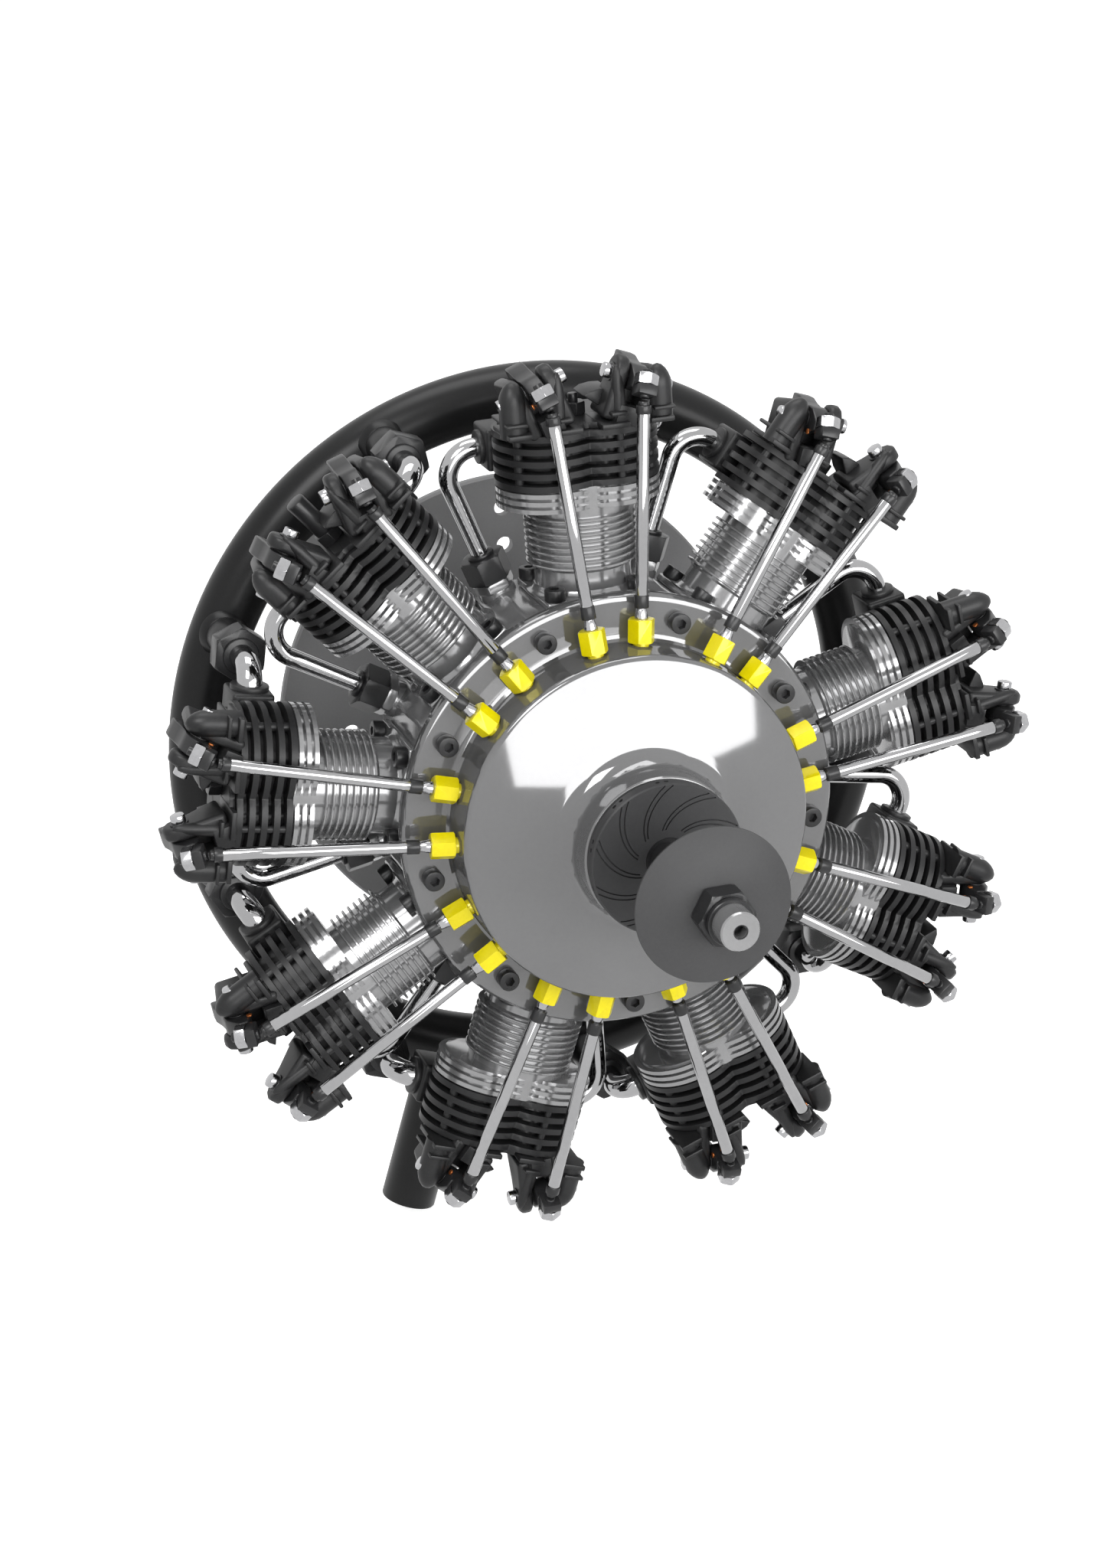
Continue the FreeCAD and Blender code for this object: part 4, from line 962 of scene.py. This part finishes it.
def flank_parts(side):
    """What stands round one tower: pointed pillar, round column, stud, short outer fins and the port's pad."""
    pad_half, pad_inside, pad_face = (8, 7.2), 13, 27.6
    collar_radius = 5.8 if side < 0 else 6.6
    ogive = [(0, 111), (1.3, 111), (1.3, 131), (2.45, 131), (2.45, 139), (2.3, 143), (1.95, 146), (1.4, 148.4),
             (0.75, 149.9), (0, 150.3)]
    column = [(0, 130), (4.5, 130), (4.5, 141.2), (4.3, 143.2), (3.6, 145.1), (2.7, 146.6), (1.5, 147.8),
              (0, 148.4)]
    stud = [(0, 111), (1.5, 111), (1.5, 131), (0, 131)]
    parts = [upright(side * 10.3, -114.9, ogive), upright(side * 25.0, -112.6, column, 48),
             upright(side * 22.6, -107.3, stud)]
    for low, thick, near, slot_in, slot_out, far in ((129.9, 1.8, 3.2, 13.0, 20.2, 28.4),
                                                     (134.0, 1.3, 6.6, 12.2, 21.6, 28.8)):
        for a, b, front in ((near, slot_in, -119.3), (slot_out, far, -118.6)):
            left, right = sorted((side * a, side * b))
            parts.append(block((left, front, low), (right, -100, low + thick), 0.45, 2))
    left, right = sorted((side * pad_inside, side * pad_face))
    parts.append(block((left, port_plane - pad_half[0], port_distance - pad_half[1]),
                       (right, port_plane + pad_half[0], port_distance + pad_half[1]), 1.2, 3))
    parts.append(bar(collar_radius, (side * 27, port_plane, port_distance),
                     (side * 29.2, port_plane, port_distance), 36, 0.5))
    return parts


def wing_part():
    """The curved wing on the inner side of the exhaust tower."""
    length, front = 12, -109
    outline = [(0.4, 139.6), (2.6, 140.9), (6.0, 141.4), (9.6, 141.2), (9.6, 134.6), (7.4, 134.9), (5.0, 136.0),
               (2.6, 137.9)]
    wing = plate(outline, length)
    bake_place(wing, Matrix(((0, 1, 0, 0), (1, 0, 0, front * mm), (0, 0, 1, 0), (0, 0, 0, 1))))
    return smooth(round_edges(clean(wing), 0.5, 3, 50), 45)


def head_parts():
    """Five lobed fins on a slimmer core under a deck, with both towers and what stands round them."""
    foot, fins, fin_pitch, fin_thickness = 110.5, 5, 4.2, 2.1
    parts = [lobed(18.7, foot + i * fin_pitch, foot + i * fin_pitch + fin_thickness) for i in range(fins)]
    parts.append(lobed(14.3, foot, 131.0, 0.3, 2.0))
    parts.append(lobed(16.6, 129.6, head_deck, 0.6, 2.0))
    for side, tower in zip((-1, 1), in_both_towers(tower_parts())):
        parts += [tower] + flank_parts(side)
    parts.append(wing_part())
    return [paint(p, black_casting) for p in parts]


def barrel_parts():
    """Spigot, fins turned from the solid, upper jacket with three lobed fins, and the square base flange."""
    bore, spigot, root, tip = 14.1, 16.3, 16.9, 18.75
    foot, top = 60, 110.6
    fins, first_fin, fin_pitch = 8, 82.4, 2.36
    flange_half = 18
    profile = [(bore, foot), (spigot, foot), (spigot, 81.2), (root, 82.0)]
    z = first_fin
    for i in range(fins):
        profile += [(root, z), (tip - 0.2, z + 0.1), (tip, z + 0.3), (tip, z + 0.75), (tip - 0.2, z + 0.95),
                    (root, z + 1.05)]
        z += fin_pitch
    profile += [(root, top), (bore, top), (bore, foot)]
    parts = [upright(0, cylinder_plane, profile, 96, 28)]
    for z in (103.2, 105.8, 108.4):
        parts.append(lobed(18.6, z, z + 1.5, 0.15))
    parts.append(lobed(16.4, 102.6, 110.4, 0.3, 2.0))
    parts.append(block((-flange_half, cylinder_plane - flange_half, pad_distance),
                       (flange_half, cylinder_plane + flange_half, pad_distance + barrel_flange_thickness), 0.9, 3))
    fillet = [(15, 72.9), (19.2, 72.9), (17.4, 73.5), (16.5, 75), (15, 75), (15, 72.9)]
    parts.append(upright(0, cylinder_plane, fillet, 64, 50))
    return [paint(p, turned_alloy) for p in parts]


def build_cylinders():
    round_the_engine([join(head_parts())], "black_head_castings", ["cylinder_heads"], "black_head")
    round_the_engine([join(barrel_parts())], "finned_barrels", ["cylinder_barrels"], "plain_steel")


def build_plugs():
    """Short capped plugs on eight heads and one tall plug on the ninth."""
    def at(rise):
        return Vector((0, cylinder_plane, head_deck + rise))
    pieces = []
    for k in range(cylinder_count):
        tall = k == cylinder_count - 1
        parts = [hexagon(8 if tall else 7, 4.2, at(0), Z), bar(3.2, at(-3), at(0.4), 28, 0.1)]
        parts.append(bar(3.4, at(4), at(18.5), 36, 0.6) if tall else bar(1.7, at(4), at(7), 20, 0.3))
        pieces.append(bake_place(join(parts), station(k)))
    place(paint(join(pieces), black_steel), "cylinder_plugs", "engine", ["glow_plugs"], "blued_steel")


# Pipes


# Outwards between cylinder 9 and cylinder 1, where an intake pipe leaves the case
gap = ray(-pitch_angle / 2)


def build_intake():
    """Chrome intake bend from the case's boss to the head's port, then both kinds of union nut."""
    foot = gap * 78.5 + Y * port_plane
    corner = gap * (port_distance / math.cos(math.radians(pitch_angle / 2))) + Y * port_plane
    end = Vector((-port_reach, port_plane, port_distance))
    pipe = paint(bent_pipe(3.25, foot + gap * 2, corner, end, 9.7, 36, 28), chrome)
    round_the_engine([pipe], "chrome_intake_bends", ["intake_tubes"], "chrome_tube")
    exhaust = Vector((exhaust_offset, exhaust_nut_plane, port_distance))
    nuts = [hexagon(14, 8.6, foot + gap * 0.4, gap, Y), bar(4.6, foot + gap * 8.8, foot + gap * 10.2, 36, 0.4),
            hexagon(17, 8.4, exhaust - Y * 4.4, Y, Z), bar(6.2, exhaust - Y * 5.8, exhaust - Y * 4.2, 36, 0.5)]
    round_the_engine([paint(p, black_steel) for p in nuts], "union_nuts", ["pipe_nuts"], "blued_steel")


def build_exhaust():
    start = Vector((port_reach, port_plane, port_distance))
    corner = Vector((exhaust_offset, port_plane, port_distance))
    end = Vector((exhaust_offset, exhaust_nut_plane - 2, port_distance))
    pipe = paint(bent_pipe(4.3, start, corner, end, 7.0, 36, 24), chrome)
    round_the_engine([pipe], "chrome_exhaust_bends", ["exhaust_tubes"], "chrome_tube")


def build_collector():
    """Ring, nine flared stubs and the open tailpipe."""
    ring_radius, tube_radius = 123, 10.8
    tail_angle, tail_radius, wall = 199, 10, 1.4
    tail_root, tail_inside, tail_end = 118, 134, 187
    only(None)
    bpy.ops.mesh.primitive_torus_add(major_segments=220, minor_segments=40, major_radius=ring_radius * mm,
                                     minor_radius=tube_radius * mm, rotation=(math.pi / 2, 0, 0),
                                     location=(0, collector_plane * mm, 0))
    ring = smooth(bake_place(bpy.context.object), 60)
    spot = Vector((exhaust_offset, 0, port_distance))
    stub = bar(6.6, spot + Y * (exhaust_nut_plane + 4), spot + Y * collector_plane, 40, 0.3)
    flare = bar(8.6, spot + Y * (collector_plane - 9.2), spot + Y * (collector_plane - 12.4), 40, 0.2,
                tip_radius=6.7)
    tail = upright(0, 0, [(tail_radius, tail_root), (tail_radius, tail_end - 0.6),
                          (tail_radius - 0.3, tail_end - 0.1), (tail_radius - 0.8, tail_end),
                          (tail_radius - wall, tail_end - 0.3), (tail_radius - wall, tail_inside)], 64, 40)
    bake_place(tail, Matrix.Rotation(math.radians(tail_angle), 4, "Y"))
    bake_place(tail, Matrix.Translation((0, collector_plane * mm, 0)))
    whole = paint(join([ring, tail] + nine_times([stub, flare])), ring_grey)
    place(whole, "exhaust_collector", "engine", ["collector_ring"], "ring_grey")


# Case, plate and rear


def build_case():
    """Nine-sided barrel with a round boss and a hexagonal seat for each intake pipe."""
    boss_root, boss_seat = 62, 78.4
    corner = pad_distance / math.cos(math.radians(pitch_angle / 2))
    case = cylinder(cylinder_count, corner, case_rear - case_front)
    bake_place(case, Matrix.Rotation(math.radians(pitch_angle / 2), 4, "Z"))
    bake_place(case, axes_matrix((0, (case_front + case_rear) / 2, 0), Y, Z))
    turn_to_pads(case)
    round_edges(case, 1.2, 3, 30)
    foot, seat = gap * boss_root + Y * port_plane, gap * boss_seat + Y * port_plane
    bosses = [bar(6.5, foot, seat - gap * 3.0, 36, 0.3), hexagon(12.5, 3.4, seat - gap * 3.2, gap, Y)]
    whole = paint(join([smooth(case)] + nine_times(bosses)), satin_case)
    place(whole, "polished_crankcase", "engine", ["crankcase"], "polished_case")


def turn_to_pads(case):
    """Turns the nine-sided barrel about the shaft until one flat faces straight up."""
    best = max((p for p in case.data.polygons if abs(p.normal.y) < 0.5), key=lambda p: p.normal.z)
    off = math.atan2(best.normal.x, best.normal.z)
    bake_place(case, Matrix.Rotation(-off, 4, "Y"))


def build_plate():
    """Round mounting plate with its bolt holes and air hole."""
    rim, air_hole, corner = 88, 24, 0.8
    bolt_circles, bolt_hole, bolts = (62, 76), 3, 4
    disc = turned([(air_hole, plate_front), (rim - corner, plate_front), (rim, plate_front + corner),
                   (rim, -corner), (rim - corner, 0), (air_hole, 0), (air_hole, plate_front)], 160)
    for circle in bolt_circles:
        for k in range(bolts):
            a = math.radians(k * 360 / bolts)
            spot = Vector((math.sin(a) * circle, 0, math.cos(a) * circle))
            cut(disc, bar(bolt_hole, spot + Y * -8, spot + Y * 4, 32, 0))
    round_edges(disc, 0.25, 1, 60)
    place(paint(smooth(disc), plate_grey), "round_mounting_plate", "engine", ["mounting_plate"], "plate_grey")


def build_rear():
    """Stepped induction drum and four legs that swell where they meet it."""
    flange, drum_radius, inlet, leg_circle = 62, 52, 7, 42
    drum = turned([(0, case_rear), (flange - 0.6, case_rear), (flange, case_rear + 0.6), (flange, case_rear + 5.4),
                   (flange - 0.6, case_rear + 6), (55, case_rear + 6), (53.2, case_rear + 7),
                   (drum_radius, case_rear + 10), (drum_radius, drum_rear - 3.2),
                   (drum_radius - 0.8, drum_rear - 1.2), (drum_radius - 2.8, drum_rear), (22, drum_rear),
                   (20.6, drum_rear - 0.4), (inlet, drum_rear - 0.4), (inlet, drum_rear - 5), (0, drum_rear - 5)],
                  144)
    legs = []
    for i in range(4):
        spot = ray(45 + 90 * i) * leg_circle
        legs.append(bar(8.5, spot + Y * (drum_rear - 0.5), spot + Y * plate_front, 48, 0.4, tip_radius=6.5))
        legs.append(bar(10.4, spot + Y * (drum_rear - 0.3), spot + Y * (drum_rear + 2.2), 48, 0.3, tip_radius=8.3))
    whole = paint(join([drum] + legs), satin_case)
    place(whole, "rear_housing_casting", "engine", ["rear_housing"], "polished_case")


def build_carburettor():
    """Flange with two screws, body with its throttle barrel and lever, float bowl and inlet spigot."""
    depth = 36
    body_rear, throttle, flange_rear = drum_rear + depth, drum_rear + depth * 0.55, drum_rear + 4
    parts = [block((-19, drum_rear, -12), (19, flange_rear, 12), 2.5, 4),
             block((-14, flange_rear, -14), (14, body_rear, 14), 2.2, 4),
             bar(6, (-17, throttle, 0), (17, throttle, 0), 40, 0.5, Y),
             bar(10, (0, throttle, -22), (0, throttle, -13.5), 48, 1.0),
             bar(2.4, (0, throttle, -22), (0, throttle, -20.5), 6, 0.2),
             block((17, throttle - 3, -3), (19, throttle + 3, 16), 0.8, 3)]
    spigot = bar(10, (0, body_rear - 1, 0), (0, -8, 0), 56, 0.5)
    cut(spigot, bar(7, (0, body_rear - 12, 0), (0, -5, 0), 48, 0))
    for x in (-15.5, 15.5):
        screw = cap_screw()
        bake_place(screw, axes_matrix((x, flange_rear, 0), Y) @ Matrix.Scale(0.8, 4))
        parts.append(screw)
    whole = paint(join(parts + [smooth(spigot)]), ring_grey)
    place(whole, "carburettor_finished", "engine", ["carburettor"], "ring_grey")


def dress_inner_nodes():
    """The inner pieces keep their own shapes and get their metals; the crankshaft's black is painted shade."""
    # The crankshaft gets blackened steel as painted shade, so where it shows between drive washer and dome it reads
    # dark.
    finishes_and_painted_shade = {"crankshaft": black_steel, "main_bearings": bright_steel, "pistons_and_rods": turned_alloy,
                "cam_ring": bright_steel, "cam_idler": bright_steel}
    for node, material in finishes_and_painted_shade.items():
        paint(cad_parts[node], material)


make_camera()
make_studio()
build_cover()
build_screws()
build_drive_washer()
build_domed_washer()
build_propeller_nut()
build_pushrods()
build_guides()
build_rockers()
build_pins()
build_springs()
build_cylinders()
build_plugs()
build_intake()
build_exhaust()
build_collector()
build_case()
build_plate()
build_rear()
build_carburettor()
dress_inner_nodes()
only(None)
